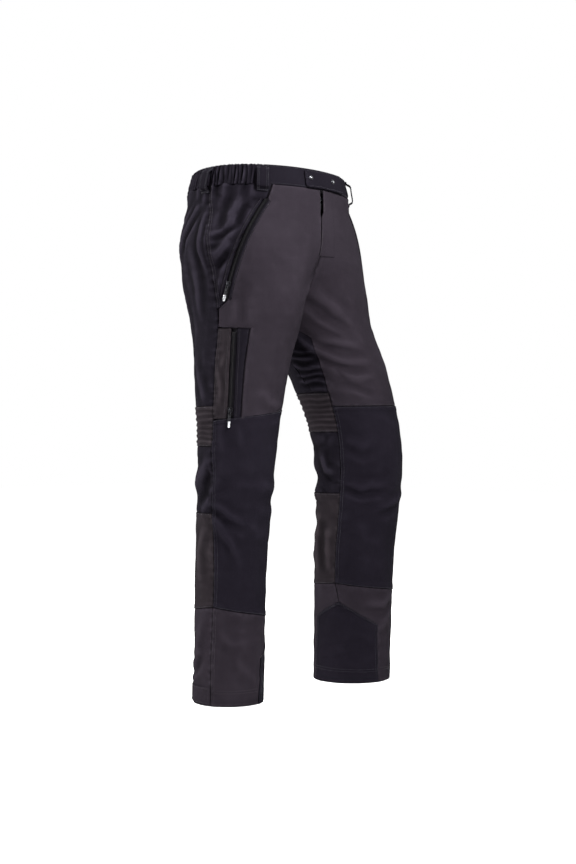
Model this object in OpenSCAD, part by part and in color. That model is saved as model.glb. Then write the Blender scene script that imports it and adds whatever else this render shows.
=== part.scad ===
// Protective work trousers for forestry, worn pose, with the left leg stepping forward and out.
// +Z is up, the wearer faces -Y and the wearer's left is +X.
// The origin is the centre of the waist opening, level with the top edge of the waistband.
// A place on the cloth is given by its drop below the waist edge and by its turn around the leg:
// 0 is the side seam, 90 the front, 180 the inside of the leg and -90 the back.

/* [Length] */
// Waist edge to hem
outseam = 1055; // [1040:5:1070]
// Height of the waistband
band_h = 40; // [36:1:44]

/* [Waist and hips] */
// Half the width of the waist opening
waist_half_w = 176; // [170:1:182]
// Half the width across the hips
hip_half_w = 214; // [210:1:218]
// Centre of the hips to the belly
hip_front = 131; // [127:1:135]
// Centre of the hips to the seat
hip_back = 156; // [152:1:160]

/* [Legs] */
// Waist edge to the crotch
crotch_drop = 290; // [286:1:294]
// Centre line to the hem's centre, standing leg
standing_hem_x = 134; // [130:1:138]
// Centre line to the hem's centre, stepping leg
stepping_hem_x = 245; // [240:1:250]
// Radius of the standing leg at the hem
standing_hem_r = 70; // [66:1:74]
// Radius of the stepping leg at the hem
stepping_hem_r = 83; // [80:1:86]

/* [Cloth] */
// Thickness of the outer cloth
cloth_t = 1.6; // [1.2:0.1:2]
// Thickness of the cut protection pad
pad_t = 6; // [5:0.5:6.5]
// Gap in a seam, on each side, in degrees of turn
seam_turn = 0.3; // [0.2:0.05:0.4]

/* [Zips] */
// Width of a closed row of teeth
teeth_w = 6; // [5:0.5:6]
// Width of a slider
slider_w = 9; // [8.6:0.1:9.4]
// Length of a slider
slider_l = 10; // [9:0.5:11]
// Length of a cord puller
puller_l = 34; // [30:1:38]

/* [Belt loops] */
// Width of a belt loop
loop_w = 26; // [22:1:28]
// Stand-off of a belt loop, for the belt
loop_gap = 9; // [7:0.5:10]

/* [Hidden] */
LEG_NODES = ["thigh_front", "knee_front", "shin_front", "hip_yoke", "seat", "knee_back_band", "knee_back",
    "calf_back", "ankle_back", "inner_thigh_gusset", "kick_patch", "hem_facing", "cut_pad", "lining",
    "hip_pocket_bag", "hip_zip", "hip_zip_slider", "hip_zip_puller", "hem_strap"];

right = -1;
left = 1;
ROW_STEP = 46;        // longest facet down the leg
FINE_STEP = 28;       // the same where two layers lie close
TURN_STEP = 12;       // widest facet around the leg
CENTRE_GAP = 0.4;     // half the gap between the two halves of the trousers
EDGE_GAP = 0.4;       // gap in a seam, on each side, up and down
BODY_TOP = band_h + 3;

GREY = "#413a40";
BLACK = "#26262e";
STRETCH = "#3a3638";
METAL = "#b9bcc2";
DARK = "#1c1c20";
PAD = "#d8d3c4";

// Sections of each half: drop, leg centre x and y, half width outwards and inwards, depth forwards
// and backwards. The centre is x = 0 where one tube holds both halves.
WAIST = [
    [0, 0, 4, waist_half_w, 100, 120, 156],
    [50, 0, 8, waist_half_w + 8, 100, 132, 166]];
CROTCH_ROW = 4;
HIP_X = 24;
RIGHT = concat(WAIST, [
    [140, HIP_X, 4, hip_half_w - HIP_X, 100, hip_front, hip_back],
    [220, 76, 0, 132, 104, 128, 144],
    [crotch_drop, 104, -6, 100, 104, 124, 118],
    [400, 116, -6, 90, 90, 100, 94],
    [580, 130, -8, 78, 76, 78, 78],
    [800, 134, 4, 70, 70, 72, 72],
    [outseam, standing_hem_x, 10, standing_hem_r, standing_hem_r, standing_hem_r, standing_hem_r]]);
LEFT = concat(WAIST, [
    [140, HIP_X, 4, hip_half_w + 8 - HIP_X, 100, hip_front, hip_back],
    [220, 76, 0, 152, 104, 128, 144],
    [crotch_drop, 104, -6, 128, 104, 124, 118],
    [400, 150, -40, 102, 100, 110, 104],
    [560, 194, -62, 94, 94, 94, 94],
    [800, 222, -30, 85, 85, 86, 85],
    [outseam, stepping_hem_x, -6, stepping_hem_r, stepping_hem_r, stepping_hem_r, stepping_hem_r]]);

// ---- the cloth's surface ----

function lerp(a, b, k) = a + (b - a)*k;
function unit(v) = v/norm(v);

// How fast each number of a section changes there. The two halves share it at the crotch.
function slope(rows, i) =
    let (n = len(rows) - 1)
    i == 0 ? (rows[1] - rows[0])/(rows[1][0] - rows[0][0])
    : i == n || i == CROTCH_ROW ? (rows[i] - rows[i - 1])/(rows[i][0] - rows[i - 1][0])
    : let (span = rows[i + 1][0] - rows[i - 1][0])
    [for (k = [0:6])
        let (above = rows[i][k] - rows[i - 1][k], below = rows[i + 1][k] - rows[i][k])
        above*below <= 0 ? 0 : (above + below)/span];
RIGHT_SLOPES = [for (i = [0:len(RIGHT) - 1]) slope(RIGHT, i)];
LEFT_SLOPES = [for (i = [0:len(LEFT) - 1]) slope(LEFT, i)];

function row_above(rows, drop, i = 0) =
    i >= len(rows) - 2 || drop < rows[i + 1][0] ? i : row_above(rows, drop, i + 1);

// The section at any drop, as a smooth curve through the rows
function section(side, drop) =
    let (rows = side == right ? RIGHT : LEFT, m = side == right ? RIGHT_SLOPES : LEFT_SLOPES,
        d = max(0, min(outseam, drop)), i = row_above(rows, d),
        h = rows[i + 1][0] - rows[i][0], s = (d - rows[i][0])/h)
    (2*s^3 - 3*s^2 + 1)*rows[i] + (s^3 - 2*s^2 + s)*h*m[i]
    + (3*s^2 - 2*s^3)*rows[i + 1] + (s^3 - s^2)*h*m[i + 1];

// Turn at which a half meets the centre plane, or no limit below the crotch
function centre_turn(side, drop, out = 0) =
    let (c = section(side, drop), k = c[1]/(c[4] + out)) k >= 1 ? 400 : acos(-k);
function to_centre(side, drop, turn, out = 0) =
    let (limit = centre_turn(side, drop, out)) max(-limit, min(limit, turn));

// A point of the cloth, moved outwards by "out"
function on_cloth(side, drop, turn, out = 0) =
    let (c = section(side, drop), a = to_centre(side, drop, turn, out),
        w = (cos(a) > 0 ? c[3] : c[4]) + out, depth = (sin(a) > 0 ? c[5] : c[6]) + out)
    [side*max(CENTRE_GAP, c[1] + w*cos(a)), c[2] - depth*sin(a), -drop];

// The same around the whole waist: the right half from -90 to 90, the left half beyond at both ends
function on_waist(drop, around, out = 0) =
    around > 90 ? on_cloth(left, drop, 180 - around, out)
    : around < -90 ? on_cloth(left, drop, -180 - around, out)
    : on_cloth(right, drop, around, out);

// Turn of the front where it lies x from the centre plane
function turn_at(side, drop, x) =
    let (c = section(side, drop), k = x - c[1]) acos(k/(k > 0 ? c[3] : c[4]));

// Frame with its origin at p, local y along "along" and local x as near "out_dir" as it can be
module place(p, out_dir, along) {
    y = unit(along);
    x = unit(out_dir - (out_dir*y)*y);
    z = cross(x, y);
    multmatrix([[x[0], y[0], z[0], p[0]], [x[1], y[1], z[1], p[1]], [x[2], y[2], z[2], p[2]]])
        children();
}

// ---- cloth pieces ----

// Rows of a piece, counted in stations of its edges
function rows_of(a, b, row_step) = concat(
    [for (i = [0:len(a) - 2])
        let (n = ceil(max(a[i + 1][0] - a[i][0], b[i + 1][0] - b[i][0])/row_step))
        for (j = [0:n - 1]) i + j/n],
    [len(a) - 1]);
function on_edge(edge, k) = let (i = min(floor(k), len(edge) - 2)) lerp(edge[i], edge[i + 1], k - i);

// An edge moved in by the gap of its seam
function gapped(edge, turn_gap) = let (n = len(edge) - 1)
    [for (i = [0:n]) [edge[i][0] + (i == 0 ? EDGE_GAP : i == n ? -EDGE_GAP : 0), edge[i][1] + turn_gap]];

// Points of a leg piece between its edges, in rows
function leg_grid(side, a, b, cols, out, row_step) = [for (k = rows_of(a, b, row_step))
    let (p = on_edge(a, k), q = on_edge(b, k), ta = to_centre(side, p[0], p[1], out),
        tb = to_centre(side, q[0], q[1], out))
    [for (j = [0:cols]) on_cloth(side, lerp(p[0], q[0], j/cols), lerp(ta, tb, j/cols), out)]];
function waist_grid(a, b, cols, out) = [for (k = rows_of(a, b, ROW_STEP))
    let (p = on_edge(a, k), q = on_edge(b, k))
    [for (j = [0:cols]) on_waist(lerp(p[0], q[0], j/cols), lerp(p[1], q[1], j/cols), out)]];

// Closed solid between two grids of points
module between(outer, inner, flip) {
    rows = len(outer) - 1;
    cols = len(outer[0]) - 1;
    n = (rows + 1)*(cols + 1);
    function o(r, c) = r*(cols + 1) + c;
    function i(r, c) = n + o(r, c);
    quads = concat(
        [for (r = [0:rows - 1], c = [0:cols - 1]) [o(r, c), o(r, c + 1), o(r + 1, c + 1), o(r + 1, c)]],
        [for (r = [0:rows - 1], c = [0:cols - 1]) [i(r, c), i(r + 1, c), i(r + 1, c + 1), i(r, c + 1)]],
        [for (c = [0:cols - 1]) [o(0, c + 1), o(0, c), i(0, c), i(0, c + 1)]],
        [for (c = [0:cols - 1]) [o(rows, c), o(rows, c + 1), i(rows, c + 1), i(rows, c)]],
        [for (r = [0:rows - 1]) [o(r, 0), o(r + 1, 0), i(r + 1, 0), i(r, 0)]],
        [for (r = [0:rows - 1]) [o(r + 1, cols), o(r, cols), i(r, cols), i(r + 1, cols)]]);
    faces = [for (q = quads, t = [[0, 1, 2], [0, 2, 3]])
        flip ? [q[t[0]], q[t[1]], q[t[2]]] : [q[t[2]], q[t[1]], q[t[0]]]];
    polyhedron(points = concat([for (row = outer) each row], [for (row = inner) each row]), faces = faces);
}

// A piece of one leg between two edges, each a list of [drop, turn] from top to bottom
module leg_piece(side, a, b, out = 0, thick = cloth_t, row_step = ROW_STEP, turn_step = TURN_STEP) {
    ga = gapped(a, seam_turn);
    gb = gapped(b, -seam_turn);
    widths = [for (k = [0:len(a) - 1])
        to_centre(side, b[k][0], b[k][1]) - to_centre(side, a[k][0], a[k][1])];
    cols = max(1, ceil(max(widths)/turn_step));
    between(leg_grid(side, ga, gb, cols, out, row_step), leg_grid(side, ga, gb, cols, out - thick, row_step),
        side == right);
}

// A piece of the waist between two edges, each a list of [drop, around]
module waist_piece(a, b, out = 0, thick = cloth_t) {
    cols = ceil(max([for (k = [0:len(a) - 1]) b[k][1] - a[k][1]])/TURN_STEP);
    between(waist_grid(a, b, cols, out), waist_grid(a, b, cols, out - thick), true);
}

// ---- seams that two pieces share, as [drop, turn] ----

zip_top = 69;
ZIP_LINE = [[BODY_TOP, 49], [zip_top, 45.8], [87, 42.5], [104, 40.1], [122, 38.2], [142, 36.5], [161, 34.3],
    [181, 31.3], [202, 27.9], [223, 24.6], [243, 21.4], [272, 16.8]];
// Half the zip's opening, in degrees of turn at a drop
ZIP_HALF = [[BODY_TOP, 0.5], [zip_top, 3.1], [110, 3.1], [160, 3.3], [212, 3.7], [272, 4.1]];
SIDE_SEAM = [[BODY_TOP, -3], [zip_top, -2], [110, 2], [160, 5.6], [212, 6.6], [278, 8.2]];
// Edge of the hip panel in front of the zip or behind it
function beside_zip(drop, way) = [drop, lookup(drop, ZIP_LINE) + way*lookup(drop, ZIP_HALF)];
function on_side_seam(drop) = [drop, lookup(drop, SIDE_SEAM)];
fly_end = 175;
fly_root_x = 33;
fly_edge_x = 10;
FLY_DROPS = [BODY_TOP, zip_top, 87, 104, 122, 142, 157, fly_end - 3];   // stations of the fly's edges

function peak_drop(side) = side == right ? 915 : 880;
function knee_top_out(side) = side == right ? 500 : 465;
function knee_top_in(side) = side == right ? 472 : 470;
function band_top(side) = side == right ? 472 : 442;
function band_end(side) = side == right ? 550 : 522;
function calf_top(side) = side == right ? 680 : 650;
function knee_end_out(side) = side == right ? 862 : 868;
function knee_end_in(side) = side == right ? 895 : 840;
function knee_out(side) = [[knee_top_out(side), 5.5], [560, 4], [calf_top(side), 6], [780, 14],
    [knee_end_out(side), 14]];
function knee_in(side) = [[knee_top_in(side), 162], [560, 166], [calf_top(side), 168], [780, 170],
    [knee_end_in(side), 170]];

// Front seam of the gusset and its back seam
function gusset_front(side) = [[293, 178], [330, 154], [390, 160], [band_top(side) - 1, 162]];
function gusset_back(side) = [[293, 182], [340, 203], [390, 196],
    [band_top(side) - 1, side == right ? 176 : 182]];
function kick_front(side) = [[peak_drop(side) + 2, 161.5], [peak_drop(side) + 50, 104], [outseam, 98]];
function kick_back(side) = [[peak_drop(side) + 2, 165.5], [peak_drop(side) + 35, 208], [outseam, 212]];

module thigh_front(side) {
    root = side == right ? fly_edge_x : fly_root_x;
    low_side = side == right
        ? [[319, 8.5], [322, 42], [400, 43], [493, 44]]
        : [[319, 8.5], [332, 8.2], [400, 7], [knee_top_out(side), 6]];
    outer = concat([for (d = concat(FLY_DROPS, [181, 202, 223, 243, 272])) beside_zip(d, 1)], [[285, 9.5]],
        low_side);
    inner = concat([for (d = FLY_DROPS) [d, turn_at(side, d, root)]],
        [for (d = [fly_end + 3, 202, 223, 243, 260, 270, 289]) [d, 180]],
        [[330, 154], [390, 160], [knee_top_in(side), 162]]);
    color(GREY) leg_piece(side, outer, inner, row_step = FINE_STEP);
}

module knee_front(side) {
    color(BLACK) leg_piece(side, knee_out(side), knee_in(side));
}

module shin_front(side) {
    peak = peak_drop(side);
    color(GREY) leg_piece(side,
        [[knee_end_out(side), 14], [900, 13], [peak + 50, 12], [outseam, 12]],
        [[knee_end_in(side), 170], [peak, 163.5], [peak + 50, 104], [outseam, 98]], row_step = FINE_STEP);
}

module hip_yoke(side) {
    drops = [for (p = ZIP_LINE) p[0]];
    color(BLACK) leg_piece(side, [for (d = drops) d == 272 ? [278, 8.2] : on_side_seam(d)],
        [for (d = drops) d == 272 ? [278, 12.4] : beside_zip(d, -1)]);
}

module seat(side) {
    back = gusset_back(side);
    color(BLACK) leg_piece(side,
        concat([for (i = [0:4]) [SIDE_SEAM[i][0], -180]], [[284, -180], [289, -180]],
            [for (p = back) [p[0] + 1, p[1] - 360]]),
        concat([for (i = [0:4]) SIDE_SEAM[i]], [[278, 8.2], [284, 8.3], [300, 8.4], [320, 8.5], [390, 7.4],
            [band_top(side), 6]]));
}

function knee_back_top(side, edge) = [band_end(side), lookup(band_end(side), edge)];
module knee_back_band(side) {
    color(STRETCH) leg_piece(side, [[band_top(side), -198], knee_back_top(side, knee_in(side)) - [0, 360]],
        [[band_top(side), 6], knee_back_top(side, knee_out(side))]);
}

module knee_back(side) {
    color(BLACK) leg_piece(side,
        [for (p = [knee_back_top(side, knee_in(side)), knee_in(side)[1], knee_in(side)[2]]) p - [0, 360]],
        [knee_back_top(side, knee_out(side)), knee_out(side)[1], knee_out(side)[2]]);
}

module calf_back(side) {
    color(STRETCH) leg_piece(side,
        [[calf_top(side), -192], [780, -190], [knee_end_in(side), -190]],
        [[calf_top(side), 6], [780, 14], [knee_end_out(side), 14]]);
}

module ankle_back(side) {
    peak = peak_drop(side);
    color(GREY) leg_piece(side,
        [[knee_end_in(side), -190], [peak, -196.5], [peak + 35, -152], [outseam, -148]],
        [[knee_end_out(side), 14], [900, 13], [peak + 50, 12], [outseam, 12]]);
}

module inner_thigh_gusset(side) {
    color(BLACK) leg_piece(side, gusset_front(side), gusset_back(side));
}

module kick_patch(side) {
    color(BLACK) leg_piece(side, kick_front(side), kick_back(side));
}

// Turned-up hem inside the cuff
module hem_facing(side) {
    color(GREY) leg_piece(side, [[outseam - 40, -195], [outseam, -195]], [[outseam - 40, 164], [outseam, 164]],
        out = -2.6, thick = 1.2);
}

// Layers of slip fibre that stop the chain, over the front of the leg
PAD_OUT = -4.4;       // outer face of the pad under the outer cloth's face
module cut_pad(side) {
    color(PAD) leg_piece(side, [[190, 62], [500, 60], [520, 26], [985, 26]],
        [[190, 86], [crotch_drop, 140], [400, 150], [985, 150]], out = PAD_OUT, thick = pad_t,
        row_step = FINE_STEP);
}

module lining(side) {
    color("#55525a") leg_piece(side, [[BODY_TOP, -179], [outseam - 25, -179]],
        [[BODY_TOP, 179], [outseam - 25, 179]], out = -17, thick = 0.8, row_step = 75, turn_step = 18);
}

module hip_pocket_bag(side) {
    color("#55525a") leg_piece(side, [[70, 8], [160, 8], [262, 12]], [[70, 57], [160, 57], [262, 50]],
        out = -8.5, thick = 2);
}

// ---- zips ----

// A zip's units: x stands out of the cloth, y runs along the teeth and z runs across them
TEETH_T = 2.4;        // thickness of the teeth
TAPE_HALF = 6.5;      // half the width of the tape that shows
SLIDER_FLOOR = 1.5;   // height of the slider's plate above the teeth's middle
SLIDER_TOP = 3.1;
TEETH_CLEAR = 0.3;    // between a slider's flange and the teeth
PIN_OUT = 4.5;        // height of the puller's pivot above the teeth's middle

function zip_profile(r) = [[r - 1.6, -TAPE_HALF], [r - 0.8, -TAPE_HALF], [r - 0.8, -teeth_w/2],
    [r + TEETH_T/2, -teeth_w/2], [r + TEETH_T/2, teeth_w/2], [r - 0.8, teeth_w/2],
    [r - 0.8, TAPE_HALF], [r - 1.6, TAPE_HALF]];

// Slider: a plate with two flanges beside the teeth, and a bridge with the puller's hole
module slider() {
    color(METAL) difference() {
        union() {
            translate([SLIDER_FLOOR, -slider_l/2, -slider_w/2])
                cube([SLIDER_TOP - SLIDER_FLOOR, slider_l, slider_w]);
            for (s = [-1, 1])
                translate([-0.5, -slider_l/2, s > 0 ? teeth_w/2 + TEETH_CLEAR : -slider_w/2])
                    cube([SLIDER_TOP, slider_l, (slider_w - teeth_w)/2 - TEETH_CLEAR]);
            translate([SLIDER_TOP - 0.5, -3, -1]) cube([3.3, 6, 2]);
        }
        translate([PIN_OUT, 0, -2]) cylinder(h = 4, r = 0.85, $fn = 32);
    }
}

// Puller: a wire pin and two cheeks, a metal tab, and a cord loop with a moulded end
module puller(length) {
    translate([PIN_OUT, 0, 0]) {
        color(METAL) {
            translate([0, 0, -2.8]) cylinder(h = 5.6, r = 0.7, $fn = 32);
            for (s = [-1, 1]) translate([-0.7, 0, s*2.2 - 0.6]) cube([1.4, 6, 1.2]);
            difference() {
                translate([-0.7, 5, -2.8]) cube([1.4, 9, 5.6]);
                translate([-2, 11, 0]) rotate([0, 90, 0]) cylinder(h = 4, r = 1.2, $fn = 32);
            }
        }
        color(DARK) {
            for (s = [-1, 1]) translate([0, 10.5, s*1.6]) rotate([-90, 0, 0])
                cylinder(h = length - 18, r = 0.9, $fn = 16);
            translate([-1.3, length - 12, -3]) cube([2.6, 12, 6]);
        }
    }
}

// A hip zip follows an arc through three places on the cloth
HIP_ZIP_ENDS = [[zip_top + 1, 45.6], [264, 18]];
HIP_ZIP_OUT = -1.5;
function hip_zip_middle(side) = [165, side == right ? 34 : 33.5];
function hip_zip_points(side) = [for (p = [HIP_ZIP_ENDS[0], hip_zip_middle(side), HIP_ZIP_ENDS[1]])
    on_cloth(side, p[0], p[1], HIP_ZIP_OUT)];
function arc_centre(p) = let (u = p[1] - p[0], v = p[2] - p[0], w = cross(u, v))
    p[0] + (cross(w, u)*(v*v) + cross(v, w)*(u*u))/(2*(w*w));
function arc_radius(p) = norm(p[0] - arc_centre(p));
function arc_angle(p) = let (c = arc_centre(p)) acos(unit(p[0] - c)*unit(p[2] - c));
HIP_SLIDER_BACK = 28;   // the closed slider's distance from the lower end of the teeth

// Frame whose z axis is the arc's own axis and whose x axis points at the upper end of the teeth
module arc_frame(side) {
    p = hip_zip_points(side);
    c = arc_centre(p);
    axis = unit(cross(p[0] - c, p[2] - c));
    place(c, p[0] - c, cross(axis, p[0] - c)) children();
}

module on_hip_zip(side) {
    p = hip_zip_points(side);
    r = arc_radius(p);
    arc_frame(side) rotate([0, 0, arc_angle(p) - HIP_SLIDER_BACK/r*180/PI])
        translate([r, 0, 0]) children();
}

module hip_zip(side) {
    p = hip_zip_points(side);
    color(DARK) arc_frame(side)
        rotate_extrude(angle = arc_angle(p), $fn = 360) polygon(zip_profile(arc_radius(p)));
}

module hip_zip_slider(side) { on_hip_zip(side) slider(); }
module hip_zip_puller(side) { on_hip_zip(side) puller(puller_l); }

// A straight zip between two points, with a frame at a distance from its upper end
module straight_zip(from, to, out_dir) {
    l = norm(to - from);
    color(DARK) place(from, out_dir, to - from)
        rotate([-90, 0, 0]) mirror([0, 1, 0]) linear_extrude(height = l) polygon(zip_profile(0));
}
module on_straight_zip(from, to, out_dir, at) {
    place(from, out_dir, to - from) translate([0, at, 0]) children();
}

thigh_zip_from = on_cloth(right, 330, 26, -0.5);
thigh_zip_to = on_cloth(right, 492, 30, -0.5);
thigh_zip_out = [-0.9, -0.44, 0];
THIGH_SLIDER_AT = 150;
fly_x = 5.5;
fly_depth = -9;
fly_zip_from = on_cloth(right, 48, turn_at(right, 48, fly_x), fly_depth);
fly_zip_to = on_cloth(right, 150, turn_at(right, 150, fly_x), fly_depth);
fly_zip_out = [0, -1, 0];
FLY_SLIDER_AT = 8;

module thigh_zip() { straight_zip(thigh_zip_from, thigh_zip_to, thigh_zip_out); }
module thigh_zip_slider() {
    on_straight_zip(thigh_zip_from, thigh_zip_to, thigh_zip_out, THIGH_SLIDER_AT) slider();
}
module thigh_zip_puller() {
    on_straight_zip(thigh_zip_from, thigh_zip_to, thigh_zip_out, THIGH_SLIDER_AT) puller(puller_l);
}
module fly_zip() { straight_zip(fly_zip_from, fly_zip_to, fly_zip_out); }
module fly_zip_slider() {
    on_straight_zip(fly_zip_from, fly_zip_to, fly_zip_out, FLY_SLIDER_AT) slider();
}
module fly_zip_puller() {
    on_straight_zip(fly_zip_from, fly_zip_to, fly_zip_out, FLY_SLIDER_AT) puller(24);
}

// ---- thigh pocket, on the right leg ----

module thigh_side_strip() {
    color(STRETCH) leg_piece(right, [[322, 8.5], [400, 7.2], [499, 5.7]], [[322, 21], [400, 24], [497, 25.3]]);
}
module thigh_zip_welt() {
    color(BLACK) leg_piece(right, [[322, 31], [400, 33.8], [495, 35]], [[322, 42], [400, 43], [493, 44]]);
}
module thigh_pocket_bag() {
    color("#55525a") leg_piece(right, [[335, 10], [490, 10]], [[335, 56], [490, 56]], out = -8.5, thick = 2);
}

// ---- waist ----

BAND_T = 3;
BAND_EDGE = 42.5;       // where the elastic back meets the flat front
FLY_AROUND = 91;        // where the two fronts meet under the tab
ELASTIC_GAP = 1.9;      // room between the casing's inner face and the elastic
TAB_TIP = 74;
TAB_ROOT = 113;
TAB_OUT = 4.4;          // outer face of the tab above the band
TAB_T = 1.8;
SNAPS = [78.5, 100];
SNAP_DROP = 19;

module waistband_front_right() {
    color(BLACK) waist_piece([[0, BAND_EDGE + seam_turn], [band_h, BAND_EDGE + seam_turn]],
        [[0, FLY_AROUND - seam_turn], [band_h, FLY_AROUND - seam_turn]], thick = BAND_T);
}
module waistband_front_left() {
    color(BLACK) waist_piece([[0, FLY_AROUND + seam_turn], [band_h, FLY_AROUND + seam_turn]],
        [[0, 180 - BAND_EDGE - seam_turn], [band_h, 180 - BAND_EDGE - seam_turn]], thick = BAND_T);
}
module waistband_back_casing() {
    color(BLACK) waist_piece([[0, seam_turn - 180 - BAND_EDGE], [band_h, seam_turn - 180 - BAND_EDGE]],
        [[0, BAND_EDGE - seam_turn], [band_h, BAND_EDGE - seam_turn]], thick = BAND_T);
}
// Woven elastic against the inside of the gathered casing
module waistband_elastic() {
    color("#d5d5d5") waist_piece([[5, -222], [band_h - 5, -222]], [[5, 42], [band_h - 5, 42]],
        out = -BAND_T - ELASTIC_GAP, thick = 1.4);
}

module snap_frame(around, out) {
    p = on_waist(SNAP_DROP, around, out);
    down = on_waist(SNAP_DROP + 4, around, out) - on_waist(SNAP_DROP - 4, around, out);
    across = on_waist(SNAP_DROP, around + 1, out) - on_waist(SNAP_DROP, around - 1, out);
    place(p, cross(down, across), down) rotate([0, 90, 0]) children();
}

module waist_tab() {
    color(BLACK) difference() {
        waist_piece([[1, TAB_TIP], [band_h - 1, TAB_TIP]], [[1, TAB_ROOT], [band_h - 1, TAB_ROOT]],
            out = TAB_OUT, thick = TAB_T);
        for (a = SNAPS) snap_frame(a, TAB_OUT) translate([0, 0, -4]) cylinder(h = 8, r = 2.3, $fn = 32);
    }
}
// Snap caps: a domed cap outside the tab and a shank through it to a socket ring
module tab_snap_caps() {
    color(METAL) for (a = SNAPS) snap_frame(a, TAB_OUT) {
        translate([0, 0, 0.6]) cylinder(h = 1.2, r = 5.2, $fn = 48);
        translate([0, 0, 1.8]) cylinder(h = 0.6, r = 3.6, $fn = 48);
        translate([0, 0, -TAB_T - 0.2]) cylinder(h = TAB_T + 1, r = 2, $fn = 32);
    }
}
// Studs that the caps press onto
module band_snap_studs() {
    color(METAL) for (a = SNAPS) snap_frame(a, 0) {
        translate([0, 0, 0.2]) cylinder(h = 0.7, r = 4.6, $fn = 48);
        translate([0, 0, 0.9]) cylinder(h = 0.7, r = 1.8, $fn = 32);
    }
}

// Belt loops: front, side and centre back
LOOP_AROUND = [42.5, -6, -90, -174, 137.5];
LOOP_T = 1.8;
LOOP_TOP = 2;
LOOP_END = 54;
LOOP_FOOT = 0.5;        // a loop's sewn ends stand this far off the band
// Inner face of a loop from its upper end to its lower, as [drop, stand-off]
LOOP_INNER = [[LOOP_TOP, LOOP_FOOT], [LOOP_TOP + 4, LOOP_FOOT], [LOOP_TOP + 8, loop_gap], [28, loop_gap],
    [LOOP_END - 10, loop_gap], [LOOP_END - 5, LOOP_FOOT], [LOOP_END, LOOP_FOOT]];
LOOP_OUTER = [[LOOP_END, LOOP_FOOT + LOOP_T], [LOOP_END - 4, LOOP_FOOT + LOOP_T],
    [LOOP_END - 9, loop_gap + LOOP_T], [28, loop_gap + LOOP_T], [LOOP_TOP + 7, loop_gap + LOOP_T],
    [LOOP_TOP + 3, LOOP_FOOT + LOOP_T], [LOOP_TOP, LOOP_FOOT + LOOP_T]];
module belt_loop(around) {
    from = on_waist(LOOP_TOP, around);
    y = unit(on_waist(LOOP_END, around) - from);
    x = unit(cross(y, on_waist(30, around + 1) - on_waist(30, around - 1)));
    place(from, x, y) translate([0, 0, -loop_w/2]) linear_extrude(height = loop_w)
        polygon([for (p = concat(LOOP_INNER, LOOP_OUTER))
            let (q = on_waist(p[0], around, p[1]) - from) [q*x, q*y]]);
}
module belt_loops() { color(BLACK) for (a = LOOP_AROUND) belt_loop(a); }

// ---- fly ----

// Places of the flap's free edge, open slot and root, from the centre to the wearer's left
FLAP_SLOT_X = -1;
FLAP_LAP_X = -8.6;
FLAP_ROOT_X = fly_root_x - 1.5;
FLAP_SLOT_END = 84;
// A point of the front at a distance x from the centre plane
function on_front(drop, x, out) = let (side = x < 0 ? right : left)
    on_cloth(side, drop, turn_at(side, drop, abs(x)), out);
// A piece across the front between two edges, each a list of [drop, x]
module front_piece(a, b, cols, out = 0, thick = cloth_t) {
    function grid(o) = [for (k = rows_of(a, b, FINE_STEP))
        let (p = on_edge(a, k), q = on_edge(b, k))
        [for (j = [0:cols]) on_front(lerp(p[0], q[0], j/cols), lerp(p[1], q[1], j/cols), o)]];
    between(grid(out), grid(out - thick), true);
}
module fly_flap() {
    drops = concat([BODY_TOP + 1, zip_top, FLAP_SLOT_END, 95],
        [for (i = [3:len(FLY_DROPS) - 1]) FLY_DROPS[i]]);
    color(GREY) front_piece([for (d = drops) [d, d > FLAP_SLOT_END ? FLAP_LAP_X : FLAP_SLOT_X]],
        [for (d = drops) [d, FLAP_ROOT_X]], 6);
}
module fly_guard() {
    drops = [BODY_TOP + 1, 110, fly_end];
    color(BLACK) front_piece([for (d = drops) [d, -24]], [for (d = drops) [d, 24]], 8, out = -14.8, thick = 1.2);
}

// Strap that narrows the cuff, from the side seam round to the heel
module hem_strap(side) {
    color(GREY) leg_piece(side, [[outseam - 37, -66], [outseam - 3, -66]], [[outseam - 37, 12], [outseam - 3, 12]],
        out = 2.2, thick = cloth_t);
}

module leg_node(name, side) {
    prefix = side == right ? "right_" : "left_";
    children();
}
for (side = [right, left]) {
    leg_node("thigh_front", side) thigh_front(side);
    leg_node("knee_front", side) knee_front(side);
    leg_node("shin_front", side) shin_front(side);
    leg_node("hip_yoke", side) hip_yoke(side);
    leg_node("seat", side) seat(side);
    leg_node("knee_back_band", side) knee_back_band(side);
    leg_node("knee_back", side) knee_back(side);
    leg_node("calf_back", side) calf_back(side);
    leg_node("ankle_back", side) ankle_back(side);
    leg_node("inner_thigh_gusset", side) inner_thigh_gusset(side);
    leg_node("kick_patch", side) kick_patch(side);
    leg_node("hem_facing", side) hem_facing(side);
    leg_node("cut_pad", side) cut_pad(side);
    leg_node("lining", side) lining(side);
    leg_node("hip_pocket_bag", side) hip_pocket_bag(side);
    leg_node("hip_zip", side) hip_zip(side);
    leg_node("hip_zip_slider", side) hip_zip_slider(side);
    leg_node("hip_zip_puller", side) hip_zip_puller(side);
    leg_node("hem_strap", side) hem_strap(side);
}
thigh_side_strip();
thigh_zip_welt();
thigh_pocket_bag();
thigh_zip();
thigh_zip_slider();
thigh_zip_puller();
waistband_front_right();
waistband_front_left();
waistband_back_casing();
waistband_elastic();
belt_loops();
waist_tab();
tab_snap_caps();
band_snap_studs();
fly_flap();
fly_guard();
fly_zip();
fly_zip_slider();
fly_zip_puller();
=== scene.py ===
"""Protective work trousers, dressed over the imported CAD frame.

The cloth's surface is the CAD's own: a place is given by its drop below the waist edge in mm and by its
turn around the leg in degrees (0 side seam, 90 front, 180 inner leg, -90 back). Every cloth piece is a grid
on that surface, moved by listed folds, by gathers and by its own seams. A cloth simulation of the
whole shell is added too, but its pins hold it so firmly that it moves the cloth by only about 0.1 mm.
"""
import math

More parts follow.
